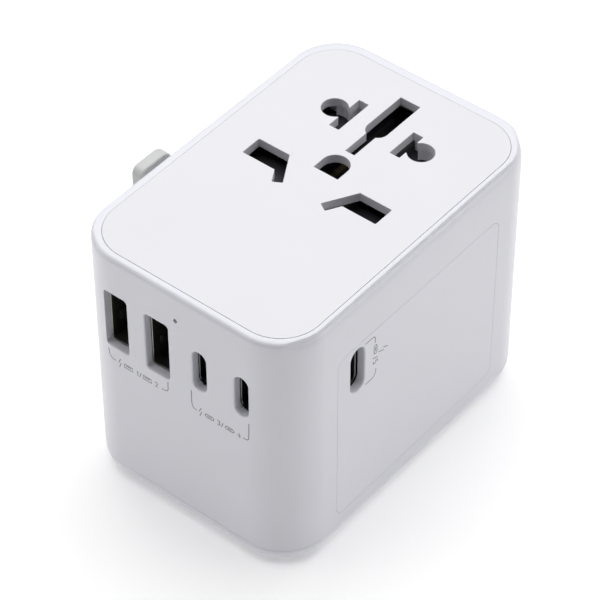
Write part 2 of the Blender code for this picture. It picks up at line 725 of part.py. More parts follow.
def socket_parts():
    inner_x, inner_back = HALF_X - WALL - GAP, HALF_Y - WALL - GAP
    frame_low = (ARM_X[1] + 2 * GAP, POWER_BOARD_Y[1] + 3 * GAP)
    outline = rounded((frame_low[0], inner_x), (frame_low[1], inner_back), CORNER - WALL, 4)
    extrusion("inner_frame", [outline], "Z", FRAME_Z, CASE, DARK_PLASTIC)
    edge = rounded((-BLOCK_X, BLOCK_X), BLOCK_Y, 2.0, 3)
    side_pocket = rectangle((SIDE_POCKET_X, BLOCK_X - BLOCK_WALL), (BLOCK_Y[0] + BLOCK_WALL, SIDE_POCKET_BACK))
    earth_y = (EARTH_POCKET_FRONT, BLOCK_Y[1] - BLOCK_WALL)
    pockets = [side_pocket, mirrored(side_pocket), rectangle((-EARTH_POCKET_X, EARTH_POCKET_X), earth_y)]
    extrusion("contact_block", [edge, *pockets], "Z", BLOCK_Z, CASE, DARK_PLASTIC)
    strip("live_contact", LIVE_PATH)
    strip("neutral_contact", mirrored(LIVE_PATH))
    strip("earth_contact", EARTH_PATH)


def strip(name, path):
    """A brass strip on edge along a path, open in the middle like a clip."""
    bm = bmesh.new()
    low = [bm.verts.new((x, y, CONTACT_Z[0])) for x, y in path]
    high = [bm.verts.new((x, y, CONTACT_Z[1])) for x, y in path]
    for i in range(len(path) - 1):
        bm.faces.new((low[i], low[i + 1], high[i + 1], high[i]))
    made = mesh_object(name, bm, CASE, GOLD)
    thick = made.modifiers.new("thickness", "SOLIDIFY")
    thick.thickness = STRIP * MM
    thick.offset = 0
    return made


def shutter():
    front, notch, back = SHUTTER_Y
    inner, outer = SHUTTER_X
    outline = [(-outer, front), (outer, front), (outer, back), (inner, back), (inner, notch)]
    outline += [(-inner, notch), (-inner, back), (-outer, back)]
    windows = []
    for x_span, y_span in (UK_WINDOW, US_WINDOW):
        window = rectangle(x_span, [y - SHUTTER_TRAVEL for y in y_span])
        windows += [window, mirrored(window)]
    extrusion("safety_shutter", [outline] + windows, "Z", SHUTTER_Z, SHUTTER, DARK_PLASTIC)
    middle = (SHUTTER_Z[0] + SHUTTER_Z[1]) / 2
    coil("shutter_spring", (0, SPRING_FRONT, middle), (0, front - 0.5, middle), 0.8, 0.12, 6, CASE, METAL)


# Plug sets


def uk_set():
    seat = 2 * PIN_SEAT
    holes = [about((side * UK_PIN_X, UK_Y), (UK_PIN[0] + seat, UK_PIN[1] + seat)) for side in (-1, 1)]
    holes.append(about((0, UK_EARTH_Y), (UK_EARTH_PIN[0] + seat, UK_EARTH_PIN[1] + seat)))
    bar_front, bar_back = UK_Y - 2.9, UK_Y + 2.9
    block_front, block_back = UK_EARTH_Y - 5.1, UK_EARTH_Y + 5.3
    link_front = UK_EARTH_Y + 1.0
    outline = [(ARM_X[0], bar_front), (UK_LINK_X[1], bar_front), (UK_LINK_X[1], block_back)]
    outline += [(-UK_BLOCK_X, block_back), (-UK_BLOCK_X, block_front), (UK_BLOCK_X, block_front)]
    outline += [(UK_BLOCK_X, link_front), (UK_LINK_X[0], link_front)]
    outline += [(UK_LINK_X[0], bar_back), (ARM_X[0], bar_back)]
    carriage_with_arm("uk_carriage", [outline, *holes], (UK_Y - 2.7, UK_Y + 2.7), UK_SET)
    for name, side in (("uk_live_pin", -1), ("uk_neutral_pin", 1)):
        span = (TRAVEL - UK_PIN[2], BAR_HIGH)
        extrusion(name, [about((side * UK_PIN_X, UK_Y), UK_PIN[:2])], "Z", span, UK_SET, GOLD)
    span = (TRAVEL - UK_EARTH_PIN[2], BAR_HIGH)
    extrusion("uk_earth_pin", [about((0, UK_EARTH_Y), UK_EARTH_PIN[:2])], "Z", span, UK_SET, GOLD)


def carriage_with_arm(name, outlines, arm_y, body_of):
    """A plug set's bar, with the tall arm that the selector's finger pushes down."""
    bar = as_mesh(extrusion(name, outlines, "Z", (BAR_LOW, BAR_HIGH), body_of, DARK_PLASTIC))
    arm = block(name + "_arm", ARM_X, arm_y, (BAR_LOW + 0.5, ARM_TOP), body_of, DARK_PLASTIC)
    join(bar, arm)
    return bar


def eu_set():
    bar = rectangle((ARM_X[0], BAR_END_X), (EU_Y - 2.6, EU_Y + 2.6))
    holes = [circle((side * EU_HOLE_X, EU_Y), EU_PIN_R + PIN_SEAT, 20) for side in (-1, 1)]
    carriage_with_arm("eu_carriage", [bar, *holes], (EU_Y - 2.4, EU_Y + 2.4), EU_SET)
    for name, side in (("eu_left_pin", -1), ("eu_right_pin", 1)):
        low = TRAVEL - EU_PIN_LONG
        cylinder(name, "Z", (side * EU_HOLE_X, EU_Y), (low, BAR_HIGH), EU_PIN_R, EU_SET, METAL, 20)


def us_set():
    pivot_y = US_Y - BLADE_OFFSET
    bar = rectangle((ARM_X[0], BAR_END_X), (US_Y - 3.9, US_Y + 3.9))
    holes = [circle((side * US_SLOT_X, pivot_y), HUB_R + GAP / 2, 20) for side in (-1, 1)]
    bar_low = BAR_LOW + 0.5
    slab = as_mesh(extrusion("us_carriage", [bar], "Z", (bar_low, BAR_HIGH), US_SET, DARK_PLASTIC))
    arm_y = (US_Y - 3.0, US_Y + 3.0)
    join(slab, block("us_carriage_arm", ARM_X, arm_y, (bar_low + 0.5, ARM_TOP), US_SET, DARK_PLASTIC))
    for hole in holes:
        cut(slab, opening("hub_cut", hole, "Z", (BAR_LOW - 1, BAR_HIGH + 1)))
    for name, side, pivot in (("us_left_blade", -1, LEFT_TWIST), ("us_right_blade", 1, RIGHT_TWIST)):
        centre = (side * US_SLOT_X, US_Y)
        low = TRAVEL - US_BLADE[2]
        blade = as_mesh(extrusion(name, [about(centre, US_BLADE[:2])], "Z", (low, BAR_LOW + 0.2), pivot, METAL))
        hub_centre = (side * US_SLOT_X, pivot_y)
        hub = cylinder(name + "_hub", "Z", hub_centre, (BAR_LOW + 0.05, BAR_HIGH), HUB_R, pivot, METAL)
        join(blade, hub)


# Selector


def selector():
    slot_y = (FINGER_Y - FINGER_SLOT_HALF, FINGER_Y + FINGER_SLOT_HALF)
    slot = rectangle(slot_y, (FINGER_Z[0] - TRAVEL - GAP, FINGER_Z[1] + GAP))
    extrusion("selector_plate", [rectangle(PLATE_Y, PLATE_Z), slot], "X", PLATE_X, SELECTOR, DARK_PLASTIC)
    flange_y = (FINGER_Y - FLANGE_HALF_Y, FINGER_Y + FLANGE_HALF_Y)
    carrier = block("slider_carrier", FLANGE_X, flange_y, FLANGE_Z, SLIDER, LIGHT_GREY)
    finger_y = (FINGER_Y - FINGER_HALF, FINGER_Y + FINGER_HALF)
    join(carrier, block("finger", (-HALF_X, ARM_X[1]), finger_y, FINGER_Z, SLIDER, LIGHT_GREY))

    outline = rounded((FINGER_Y - KNOB_HALF_Y, FINGER_Y + KNOB_HALF_Y), KNOB_Z, KNOB_CORNER, 5)
    knob = as_mesh(extrusion("slider_knob", [outline], "X", KNOB_X, SLIDER, LIGHT_GREY))
    neck_y = (FINGER_Y - NECK_HALF_Y, FINGER_Y + NECK_HALF_Y)
    join(knob, block("knob_neck", NECK_X, neck_y, NECK_Z, SLIDER, LIGHT_GREY))
    pocket_y = (FINGER_Y - BUTTON_HALF_Y - GAP, FINGER_Y + BUTTON_HALF_Y + GAP)
    pocket_z = (BUTTON_Z[0] - GAP, BUTTON_Z[1] + GAP)
    pocket = rounded(pocket_y, pocket_z, BUTTON_CORNER + GAP, 4)
    cut(knob, opening("button_pocket", pocket, "X", (KNOB_X[0] - 1, POCKET_FLOOR)))
    bore = (KNOB_X[0], BORE_END)
    cut(knob, cylinder("spring_bore", "X", (FINGER_Y, BORE_Z), bore, BORE_R, SLIDER, LIGHT_GREY))
    button = rounded((FINGER_Y - BUTTON_HALF_Y, FINGER_Y + BUTTON_HALF_Y), BUTTON_Z, BUTTON_CORNER, 4)
    extrusion("release_button", [button], "X", BUTTON_X, BUTTON, LIGHT_GREY)
    start, end = (BORE_END - 0.2, FINGER_Y, BORE_Z), (BUTTON_X[1] + 0.2, FINGER_Y, BORE_Z)
    coil("button_spring", start, end, 1.2, 0.12, 3, SLIDER, METAL)


# Fuse drawer


def fuse_drawer():
    low_y, high_y = DRAWER_Y
    inner_low, inner_high = low_y + DRAWER_WALL, high_y - DRAWER_WALL
    profile = [(low_y, GAP), (high_y, GAP), (high_y, DRAWER_TOP), (inner_high, DRAWER_TOP)]
    profile += [(inner_high, DRAWER_BASE), (inner_low, DRAWER_BASE)]
    profile += [(inner_low, DRAWER_TOP), (low_y, DRAWER_TOP)]
    extrusion("fuse_drawer", [profile], "X", (-DRAWER_X, DRAWER_X), DRAWER, PLASTIC)
    centre = ((low_y + high_y) / 2, DRAWER_BASE + GAP + FUSE_R)
    cylinder("fuse", "X", centre, (-FUSE_HALF, FUSE_HALF), FUSE_R, DRAWER, CLAY)


clear_scene()
PARTS = new_collection("universal_travel_adapter", False)
CUTTERS = new_collection("cutters", True)

PLASTIC = material("white_plastic", WHITE, 0.35)
FACE = material("face_plastic", FACE_WHITE, 0.5)
LIGHT_GREY = material("knob_plastic", KNOB_GREY, 0.5)
DARK = material("black_plastic", BLACK, 0.5)
DARK_PLASTIC = material("inner_plastic", BLACK, 0.6)
METAL = material("nickel", NICKEL, 0.3, 1.0)
GOLD = material("brass", BRASS, 0.3, 1.0)
PCB = material("circuit_board", BOARD, 0.5)
YELLOW = material("transformer_tape", TAPE, 0.5)
CORE = material("ferrite", FERRITE, 0.6)
CLAY = material("fuse_ceramic", CERAMIC, 0.4)
CLEAR = material("light_pipe", SMOKE, 0.2)

CASE = body("case")
SHUTTER = body("shutter", (0, 5, SHUTTER_Z[0]), CASE)
UK_SET = body("uk_set", (0, UK_Y, BAR_LOW), CASE)
EU_SET = body("eu_set", (0, EU_Y, BAR_LOW), CASE)
US_SET = body("us_set", (0, US_Y, BAR_LOW), CASE)
LEFT_TWIST = body("left_twist", (-US_SLOT_X, US_Y - BLADE_OFFSET, BAR_LOW), US_SET)
RIGHT_TWIST = body("right_twist", (US_SLOT_X, US_Y - BLADE_OFFSET, BAR_LOW), US_SET)
SELECTOR = body("selector", (PLATE_X[0], FINGER_Y, FINGER_Z[0]), CASE)
SLIDER = body("slider", (NECK_X[1], FINGER_Y, FINGER_Z[0]), SELECTOR)
BUTTON = body("button", (KNOB_X[0], FINGER_Y, FINGER_Z[0]), SLIDER)
DRAWER = body("drawer", (0, DRAWER_Y[0], 0), CASE)

case_parts()
bottom_cover()
screws()
usb_ports()
electronics()
socket_parts()
shutter()
uk_set()
eu_set()
us_set()
selector()
fuse_drawer()
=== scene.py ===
"""A universal travel adapter on a white floor, seen from above its USB corner.

Sizes named here are in millimetres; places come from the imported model's nodes. +Z points out of the
socket face, -Y out of the front with the USB ports, and the selector knob is on -X.
"""

import math

import bmesh
import bpy
from mathutils import Matrix, Vector


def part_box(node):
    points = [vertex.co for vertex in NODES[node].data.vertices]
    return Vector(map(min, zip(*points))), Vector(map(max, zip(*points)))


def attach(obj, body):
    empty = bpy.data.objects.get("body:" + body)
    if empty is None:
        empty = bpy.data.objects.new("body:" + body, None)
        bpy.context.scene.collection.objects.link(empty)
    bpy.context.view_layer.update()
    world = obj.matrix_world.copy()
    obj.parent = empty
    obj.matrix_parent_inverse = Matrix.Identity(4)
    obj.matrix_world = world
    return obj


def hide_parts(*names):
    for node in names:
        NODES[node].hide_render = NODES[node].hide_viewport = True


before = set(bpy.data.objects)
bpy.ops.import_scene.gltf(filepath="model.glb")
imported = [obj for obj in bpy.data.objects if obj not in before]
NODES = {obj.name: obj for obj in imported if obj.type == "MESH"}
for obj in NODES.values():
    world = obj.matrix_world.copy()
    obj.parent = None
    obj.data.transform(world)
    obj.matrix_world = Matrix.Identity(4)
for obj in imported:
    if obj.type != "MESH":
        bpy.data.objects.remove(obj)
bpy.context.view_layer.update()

MM = 0.001
SKIN = 0.02  # how far the visual case stays inside the CAD case


def span(node):
    """Lowest and highest corner of a node, in millimetres."""
    low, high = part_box(node)
    return low / MM, high / MM


def middle(node):
    low, high = span(node)
    return (low + high) / 2


# Camera, at the photograph's angle

AZIMUTH = math.radians(39.2)
ELEVATION = math.radians(44.5)
ROLL = math.radians(0.18)
AIM = Vector((-1.45, -1.14, 27.43))
DISTANCE = 504.0
FOCAL_LENGTH = 170.74

flat_back = Vector((math.sin(AZIMUTH), -math.cos(AZIMUTH), 0.0))
back = flat_back * math.cos(ELEVATION) + Vector((0.0, 0.0, math.sin(ELEVATION)))
lens = bpy.data.cameras.new("camera")
lens.lens = FOCAL_LENGTH
lens.sensor_width = 36.0
lens.clip_start, lens.clip_end = 0.01, 20.0
camera = bpy.data.objects.new("camera", lens)
camera.location = (AIM + back * DISTANCE) * MM
camera.rotation_mode = "QUATERNION"
camera.rotation_quaternion = (-back).to_track_quat("-Z", "Y") @ Matrix.Rotation(-ROLL, 4, "Z").to_quaternion()
bpy.context.scene.collection.objects.link(camera)
bpy.context.scene.camera = camera
bpy.context.scene.view_settings.view_transform = "Standard"


# Materials


def material(name, colour, roughness, metallic=0.0, mottle=0.02, uneven=0.04, grain=(2400.0, 0.05), **sockets):
    """A moulded or metal finish: the colour, the roughness and a fine surface grain vary a little by noise."""
    made = bpy.data.materials.new(name)
    made.use_nodes = True
    nodes, links = made.node_tree.nodes, made.node_tree.links
    shader = nodes["Principled BSDF"]
    shader.inputs["Metallic"].default_value = metallic
    for socket, value in sockets.items():
        shader.inputs[socket.replace("_", " ")].default_value = value
    place = nodes.new("ShaderNodeTexCoord")

    broad = nodes.new("ShaderNodeTexNoise")
    broad.inputs["Scale"].default_value = 60.0
    broad.inputs["Detail"].default_value = 3.0
    links.new(place.outputs["Object"], broad.inputs["Vector"])
    tint = nodes.new("ShaderNodeMix")
    tint.data_type = "RGBA"
    tint.inputs["A"].default_value = (*[c * (1 - mottle) for c in colour], 1)
    tint.inputs["B"].default_value = (*[min(c * (1 + mottle), 1) for c in colour], 1)
    links.new(broad.outputs["Fac"], tint.inputs["Factor"])
    links.new(tint.outputs["Result"], shader.inputs["Base Color"])

    fine = nodes.new("ShaderNodeTexNoise")
    fine.inputs["Scale"].default_value = grain[0]
    fine.inputs["Detail"].default_value = 2.0
    links.new(place.outputs["Object"], fine.inputs["Vector"])
    gloss = nodes.new("ShaderNodeMapRange")
    gloss.inputs["To Min"].default_value = roughness - uneven
    gloss.inputs["To Max"].default_value = roughness + uneven
    links.new(fine.outputs["Fac"], gloss.inputs["Value"])
    links.new(gloss.outputs["Result"], shader.inputs["Roughness"])
    bump = nodes.new("ShaderNodeBump")
    bump.inputs["Strength"].default_value = grain[1]
    bump.inputs["Distance"].default_value = 0.0001
    links.new(fine.outputs["Fac"], bump.inputs["Height"])
    links.new(bump.outputs["Normal"], shader.inputs["Normal"])
    return made


CASE_WHITE = material("case_white", (0.80, 0.80, 0.86), 0.33, grain=(1800.0, 0.03), Coat_Weight=0.15)
FACE_WHITE = material("face_white", (0.80, 0.80, 0.84), 0.48, grain=(3000.0, 0.08))
KNOB_GREY = material("knob_grey", (0.60, 0.61, 0.60), 0.45, grain=(2600.0, 0.1))
DARK = material("black_plastic", (0.02, 0.02, 0.024), 0.42, mottle=0.15, grain=(2500.0, 0.15))
INNER = material("inner_plastic", (0.02, 0.02, 0.025), 0.5, mottle=0.2, grain=(2000.0, 0.2))
NICKEL = material("nickel", (0.70, 0.68, 0.63), 0.26, 1.0, 0.05, 0.08, (1500.0, 0.05))
STEEL = material("steel", (0.55, 0.55, 0.57), 0.32, 1.0, 0.06, 0.1, (1300.0, 0.08))
BRASS = material("brass", (0.80, 0.60, 0.28), 0.28, 1.0, 0.06, 0.1, (1500.0, 0.05))
GOLD = material("gold_contact", (0.60, 0.44, 0.18), 0.30, 1.0, 0.05, 0.06, (2000.0, 0.04))
BOARD = material("circuit_board", (0.02, 0.16, 0.07), 0.38, 0.0, 0.2, 0.08, (1200.0, 0.3))
TAPE = material("coil_tape", (0.80, 0.55, 0.06), 0.35, 0.0, 0.08, 0.06, (900.0, 0.2))
FERRITE = material("ferrite", (0.035, 0.035, 0.04), 0.6, 0.0, 0.2, 0.08, (1600.0, 0.5))
CERAMIC = material("fuse_ceramic", (0.82, 0.81, 0.76), 0.35, 0.0, 0.03, 0.05, (1500.0, 0.1))
LENS = material("light_pipe", (0.32, 0.32, 0.34), 0.15, 0.0, 0.05, 0.05, (1500.0, 0.02), Transmission_Weight=0.3)
DARK_NICKEL = material("dark_nickel", (0.16, 0.16, 0.17), 0.3, 1.0, 0.08, 0.08, (1500.0, 0.05))
PORT_NICKEL = material("port_nickel", (0.30, 0.29, 0.26), 0.36, 1.0, 0.06, 0.08, (1500.0, 0.05))
PRINT = material("grey_print", (0.17, 0.17, 0.19), 0.55, 0.0, 0.06, 0.05, (4000.0, 0.1))


# Outlines, as lists of flat points, anticlockwise


def arc(centre, radius, start, end, steps):
    """Points on a circle from the start angle to the end angle, in degrees."""
    angles = [math.radians(start + (end - start) * i / steps) for i in range(steps + 1)]
    return [Vector((centre[0] + radius * math.cos(a), centre[1] + radius * math.sin(a))) for a in angles]


def circle(centre, radius, steps=32):
    return arc(centre, radius, 0, 360, steps)[:-1]


def rounded(x_span, y_span, radius, steps=10):
    low_x, high_x = x_span[0] + radius, x_span[1] - radius
    low_y, high_y = y_span[0] + radius, y_span[1] - radius
    points = arc((high_x, low_y), radius, -90, 0, steps)
    points += arc((high_x, high_y), radius, 0, 90, steps)
    points += arc((low_x, high_y), radius, 90, 180, steps)
    points += arc((low_x, low_y), radius, 180, 270, steps)
    return points


def about(centre, size, radius, steps=10):
    """A rounded rectangle from its centre and its size."""
    x_span = (centre[0] - size[0] / 2, centre[0] + size[0] / 2)
    y_span = (centre[1] - size[1] / 2, centre[1] + size[1] / 2)
    return rounded(x_span, y_span, radius, steps)


def softened(points, radius, steps=5):
    """The outline with each corner turned into an arc."""
    points = [Vector(p) for p in points]
    out = []
    for i, corner in enumerate(points):
        before = (points[i - 1] - corner).normalized()
        after = (points[(i + 1) % len(points)] - corner).normalized()
        half = before.angle(after) / 2
        if half > 1.4:
            out.append(corner)
            continue
        centre = corner + (before + after).normalized() * (radius / math.sin(half))
        start = corner + before * (radius / math.tan(half)) - centre
        sweep = start.angle_signed(corner + after * (radius / math.tan(half)) - centre)
        for k in range(steps + 1):
            out.append(centre + Matrix.Rotation(-sweep * k / steps, 2) @ start)
    return out


def grown(points, distance):
    """The outline moved outwards by a distance, or inwards if that is negative."""
    out = []
    for i, point in enumerate(points):
        normals = []
        for a, b in ((points[i - 1], point), (point, points[(i + 1) % len(points)])):
            along = (b - a).normalized()
            normals.append(Vector((along.y, -along.x)))
        out.append(point + (normals[0] + normals[1]) * (distance / (1 + normals[0].dot(normals[1]))))
    return out


def mirrored(points):
    return [Vector((-p[0], p[1])) for p in reversed(points)]


# Meshes

PLACES = {
    "+Z": lambda u, v, at: (u, v, at),
    "-Y": lambda u, v, at: (u, at, v),
    "+X": lambda u, v, at: (at, u, v),
}


def loft(rings, closed=False):
    """A skin over rings of equal count, with flat ends unless the last ring joins the first."""
    bm = bmesh.new()
    rows = [[bm.verts.new(point) for point in points] for points in rings]
    pairs = list(zip(rows, rows[1:]))
    if closed:
        pairs.append((rows[-1], rows[0]))
    for low, high in pairs:
        for i in range(len(low)):
            j = (i + 1) % len(low)
            bm.faces.new((low[i], low[j], high[j], high[i]))
    if not closed:
        bm.faces.new(reversed(rows[0]))
        bm.faces.new(rows[-1])
    bmesh.ops.recalc_face_normals(bm, faces=bm.faces)
    return bm


def stack(outline, axis, levels):
    """Rings of one outline along an axis, each given as (place on the axis, growth)."""
    place = PLACES[axis]
    return [[place(p[0], p[1], at) for p in grown(outline, growth)] for at, growth in levels]


def scaled(outline, axis, levels):
    """Rings of one outline along an axis, each given as (place on the axis, share of its size)."""
    place = PLACES[axis]
    centre = sum(outline, Vector((0, 0))) / len(outline)
    return [[place(*(centre + (p - centre) * share), at) for p in outline] for at, share in levels]


def slab_levels(low, high, low_round, high_round, steps=5):
    """Levels of a slab between two places on an axis, with each of its two edges rounded."""
    levels = []
    for i in range(steps + 1):
        turn = math.radians(90 * i / steps)
        levels.append((low + low_round * (1 - math.cos(turn)), low_round * (math.sin(turn) - 1)))
    for i in range(steps + 1):
        turn = math.radians(90 * i / steps)
        levels.append((high - high_round * (1 - math.sin(turn)), high_round * (math.cos(turn) - 1)))
    return levels


def slab(outline, axis, low, high, low_round=0.2, high_round=0.2, steps=4):
    return loft(stack(outline, axis, slab_levels(low, high, low_round, high_round, steps)))


def tube(outline, axis, low, high, sheet, lip=0.0):
    """A sheet metal tube round an outline, with its mouth end, at low, flared by the lip."""
    soft = sheet * 0.3
    levels = [(low + soft, lip + sheet), (low, lip + sheet - soft), (low, lip + soft), (low + soft, lip)]
    levels += [(low + 3 * lip + 2 * soft, 0.0), (high, 0.0), (high, sheet), (low + 3 * lip + 2 * soft, sheet)]
    return loft(stack(outline, axis, levels), closed=True)


def raw(bm, name="piece"):
    """A mesh object from places in millimetres."""
    bmesh.ops.scale(bm, vec=(MM, MM, MM), verts=bm.verts)
    data = bpy.data.meshes.new(name)
    bm.to_mesh(data)
    bm.free()
    obj = bpy.data.objects.new(name, data)
    bpy.context.scene.collection.objects.link(obj)
    return obj


def evaluated(obj):
    """Applies the object's modifiers to its mesh."""
    bpy.context.view_layer.update()
    graph = bpy.context.evaluated_depsgraph_get()
    data = bpy.data.meshes.new_from_object(obj.evaluated_get(graph))
    obj.modifiers.clear()
    obj.data = data
    return obj


def carve(obj, tools, operation="DIFFERENCE"):
    """Cuts each tool out of the object, or joins it on."""
    for tool in tools:
        modifier = obj.modifiers.new("carve", "BOOLEAN")
        modifier.operation = operation
        modifier.solver = "EXACT"
        modifier.object = tool
    evaluated(obj)
    for tool in tools:
        bpy.data.objects.remove(tool)
    return obj


def flared(outline, axis, surface, inward, depth, soften=0.25):
    """A cutter whose mouth at the surface widens in a quarter circle, so that the opening's edge is rounded."""
    levels = [(surface - inward * 1.0, soften)]
    steps = 5
    for i in range(steps + 1):
        turn = math.radians(90 * i / steps)
        levels.append((surface + inward * soften * (1 - math.cos(turn)), soften * (1 - math.sin(turn))))
    levels.append((surface + inward * depth, 0.0))
    return raw(loft(stack(outline, axis, levels)))


def straight(outline, axis, low, high):
    return raw(loft(stack(outline, axis, [(low, 0.0), (high, 0.0)])))


def piece(obj, name, body, look, nodes=(), sharp=35, weighted=True):
    """Finishes a piece: its name, smooth shading, material, body and the CAD nodes it stands for."""
    obj.name = name
    obj.data.name = name
    obj.data.materials.clear()
    obj.data.materials.append(look)
    obj.data.shade_smooth()
    obj.data.set_sharp_from_angle(angle=math.radians(sharp))
    if weighted:
        modifier = obj.modifiers.new("normals", "WEIGHTED_NORMAL")
        modifier.keep_sharp = True
    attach(obj, body)
    if nodes:
        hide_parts(*nodes)
    return obj


def merged(objects):
    """One object from several, without joining their skins."""
    bm = bmesh.new()
    for obj in objects:
        bm.from_mesh(obj.data)
    first = objects[0]
    bm.to_mesh(first.data)
    bm.free()
    for obj in objects[1:]:
        bpy.data.objects.remove(obj)
    return first


# The case: side walls with a bezel round the socket face

shell_high = span("main_shell")[1]
HALF_X = shell_high.x - SKIN
HALF_Y = shell_high.y - SKIN
TOP = shell_high.z
CORNER, LEFT_CORNER, PLATE_CORNER = 9.4, 9.0, 7.9
WALL = 1.6
STEPS = 24

# Rim profiles as (inset, depth below the top), all of one length: at the front, at the left and back, and
# over the right side's groove, towards the front and towards the back
RIM_PLAIN = [
    (0.0, 4.5), (0.0, 3.4), (0.0, 2.6), (0.0, 2.0), (0.0, 1.6), (0.0, 1.35), (0.0, 1.12), (0.02, 0.9),
    (0.06, 0.72), (0.13, 0.54), (0.22, 0.39), (0.34, 0.26), (0.48, 0.15), (0.65, 0.06), (0.85, 0.01), (1.4, 0.0),
]
RIM_SMALL = [
    (0.0, 4.5), (0.0, 3.4), (0.0, 2.6), (0.0, 2.0), (0.0, 1.6), (0.0, 1.3), (0.0, 1.0), (0.0, 0.76),
    (0.01, 0.58), (0.05, 0.42), (0.12, 0.28), (0.21, 0.16), (0.33, 0.07), (0.47, 0.02), (0.65, 0.0), (1.4, 0.0),
]
RIM_SOFT = [
    (0.0, 4.5), (0.03, 3.2), (0.06, 2.5), (0.11, 2.0), (0.18, 1.65), (0.27, 1.38), (0.36, 1.2), (0.46, 1.06),
    (0.56, 0.95), (0.66, 0.86), (0.74, 0.78), (0.79, 0.66), (0.8, 0.28), (0.86, 0.09), (1.0, 0.01), (1.4, 0.0),
]
RIM_CRISP = [
    (0.0, 4.5), (0.02, 3.2), (0.04, 2.5), (0.08, 2.0), (0.14, 1.62), (0.22, 1.34), (0.31, 1.14), (0.41, 1.0),
    (0.52, 0.9), (0.64, 0.83), (0.73, 0.77), (0.79, 0.68), (0.8, 0.26), (0.86, 0.08), (1.0, 0.01), (1.4, 0.0),
]
# Headings round the case, in degrees from +X
GROOVE_STARTS, GROOVE_FULL, GROOVE_FADES, GROOVE_ENDS = -50.0, -32.0, 40.0, 70.0
# Angles away from the front, in degrees
SMALL_STARTS, SMALL_FULL = 30.0, 60.0

STATIONS = []
for side_x, side_y, first in ((1, -1, -90), (1, 1, 0), (-1, 1, 90), (-1, -1, 180)):
    radius = CORNER if side_x > 0 else LEFT_CORNER
    centre = Vector((side_x * (HALF_X - radius), side_y * (HALF_Y - radius)))
    for step in range(STEPS + 1):
        turn = math.radians(first + 90 * step / STEPS)
        STATIONS.append((centre, radius, Vector((math.cos(turn), math.sin(turn)))))


def blend(a, b, share):
    return (a[0] + (b[0] - a[0]) * share, a[1] + (b[1] - a[1]) * share)


def eased(value, start, full):
    share = max(0.0, min(1.0, (value - start) / (full - start)))
    return share * share * (3 - 2 * share)


def case_ring(plain, small=None, soft=None, crisp=None):
    """One ring round the case. Each profile point is (inset, height). The rim's rounding is smaller away from the
    front, and the groove under it runs along the right side only, crisper towards the back."""
    ring = []
    for centre, radius, outward in STATIONS:
        inset, height = plain
        if soft:
            from_front = math.degrees(math.acos(max(-1.0, min(1.0, -outward.y))))
            heading = math.degrees(math.atan2(outward.y, outward.x))
            groove = min(eased(heading, GROOVE_STARTS, GROOVE_FULL), eased(heading, GROOVE_ENDS, GROOVE_FADES))
            rim = blend(plain, small, eased(from_front, SMALL_STARTS, SMALL_FULL))
            inset, height = blend(rim, crisp if centre.y > 0 else soft, groove)
        flat = centre + outward * (radius - inset)
        ring.append((flat.x, flat.y, height))
    return ring


def plate_ring(growth, height):
    """A ring round the socket face's outline, moved outwards by the growth."""
    low, high = span("socket_face_plate")
    x_span, y_span = (low.x - growth, high.x + growth), (low.y - growth, high.y + growth)
    shift = SEAM_SHIFT if growth > 0 else 0.0
    return [(p.x + shift, p.y - shift, height) for p in rounded(x_span, y_span, PLATE_CORNER + growth, STEPS)]


SEAM = 0.06
SEAM_EDGE = 0.05
SEAM_SHIFT = 0.03  # the seam is wider at the front and right, by this much
PLATE_THICK = 1.8
LEDGE_WIDE, LEDGE_THICK = 1.5, 1.2  # the shelf that the socket face rests on
FOOT = span("bottom_cover")[1].z


def case_shell():
    rings = [case_ring((0.3, FOOT + 0.02)), case_ring((0.04, FOOT + 0.02)), case_ring((0.01, FOOT + 0.03))]
    rings.append(case_ring((0.0, FOOT + 0.06)))
    for profiles in zip(RIM_PLAIN, RIM_SMALL, RIM_SOFT, RIM_CRISP):
        rings.append(case_ring(*[(inset, TOP - depth) for inset, depth in profiles]))
    rings.append(plate_ring(SEAM + SEAM_EDGE, TOP))
    rings.append(plate_ring(SEAM + SEAM_EDGE * 0.3, TOP - SEAM_EDGE * 0.3))
    rings.append(plate_ring(SEAM, TOP - SEAM_EDGE))
    ledge = TOP - PLATE_THICK - 0.05
    rings.append(plate_ring(SEAM, ledge))
    rings.append(plate_ring(-LEDGE_WIDE, ledge))
    rings.append(plate_ring(-LEDGE_WIDE, ledge - LEDGE_THICK))
    rings.append(case_ring((WALL, ledge - LEDGE_THICK)))
    rings.append(case_ring((WALL, FOOT + 0.02)))
    return raw(loft(rings, closed=True))


# Socket holes, in the socket face's own plane

UK_SLOT, UK_SIZE = (11.1, 1.61), (6.88, 4.48)
AU_SLOT, AU_REACH, AU_WIDE, AU_TILT = (6.86, 0.36), 3.74, 1.93, math.radians(30)
US_ROW, US_X, US_WIDE = 18.58, 6.35, 2.12
US_LONG = {-1: 8.5, 1: 6.8}
HOLE_CORNER = 0.13
EU_X, EU_R = 9.5, 2.47
EARTH_BACK, EARTH_HALF, EARTH_SHOULDER = 28.0, 2.15, 18.6
AU_EARTH_HALF, AU_EARTH_FRONT = 0.98, 10.8
D_FRONT, D_CENTRE, D_HALF = 4.13, 6.78, 2.63


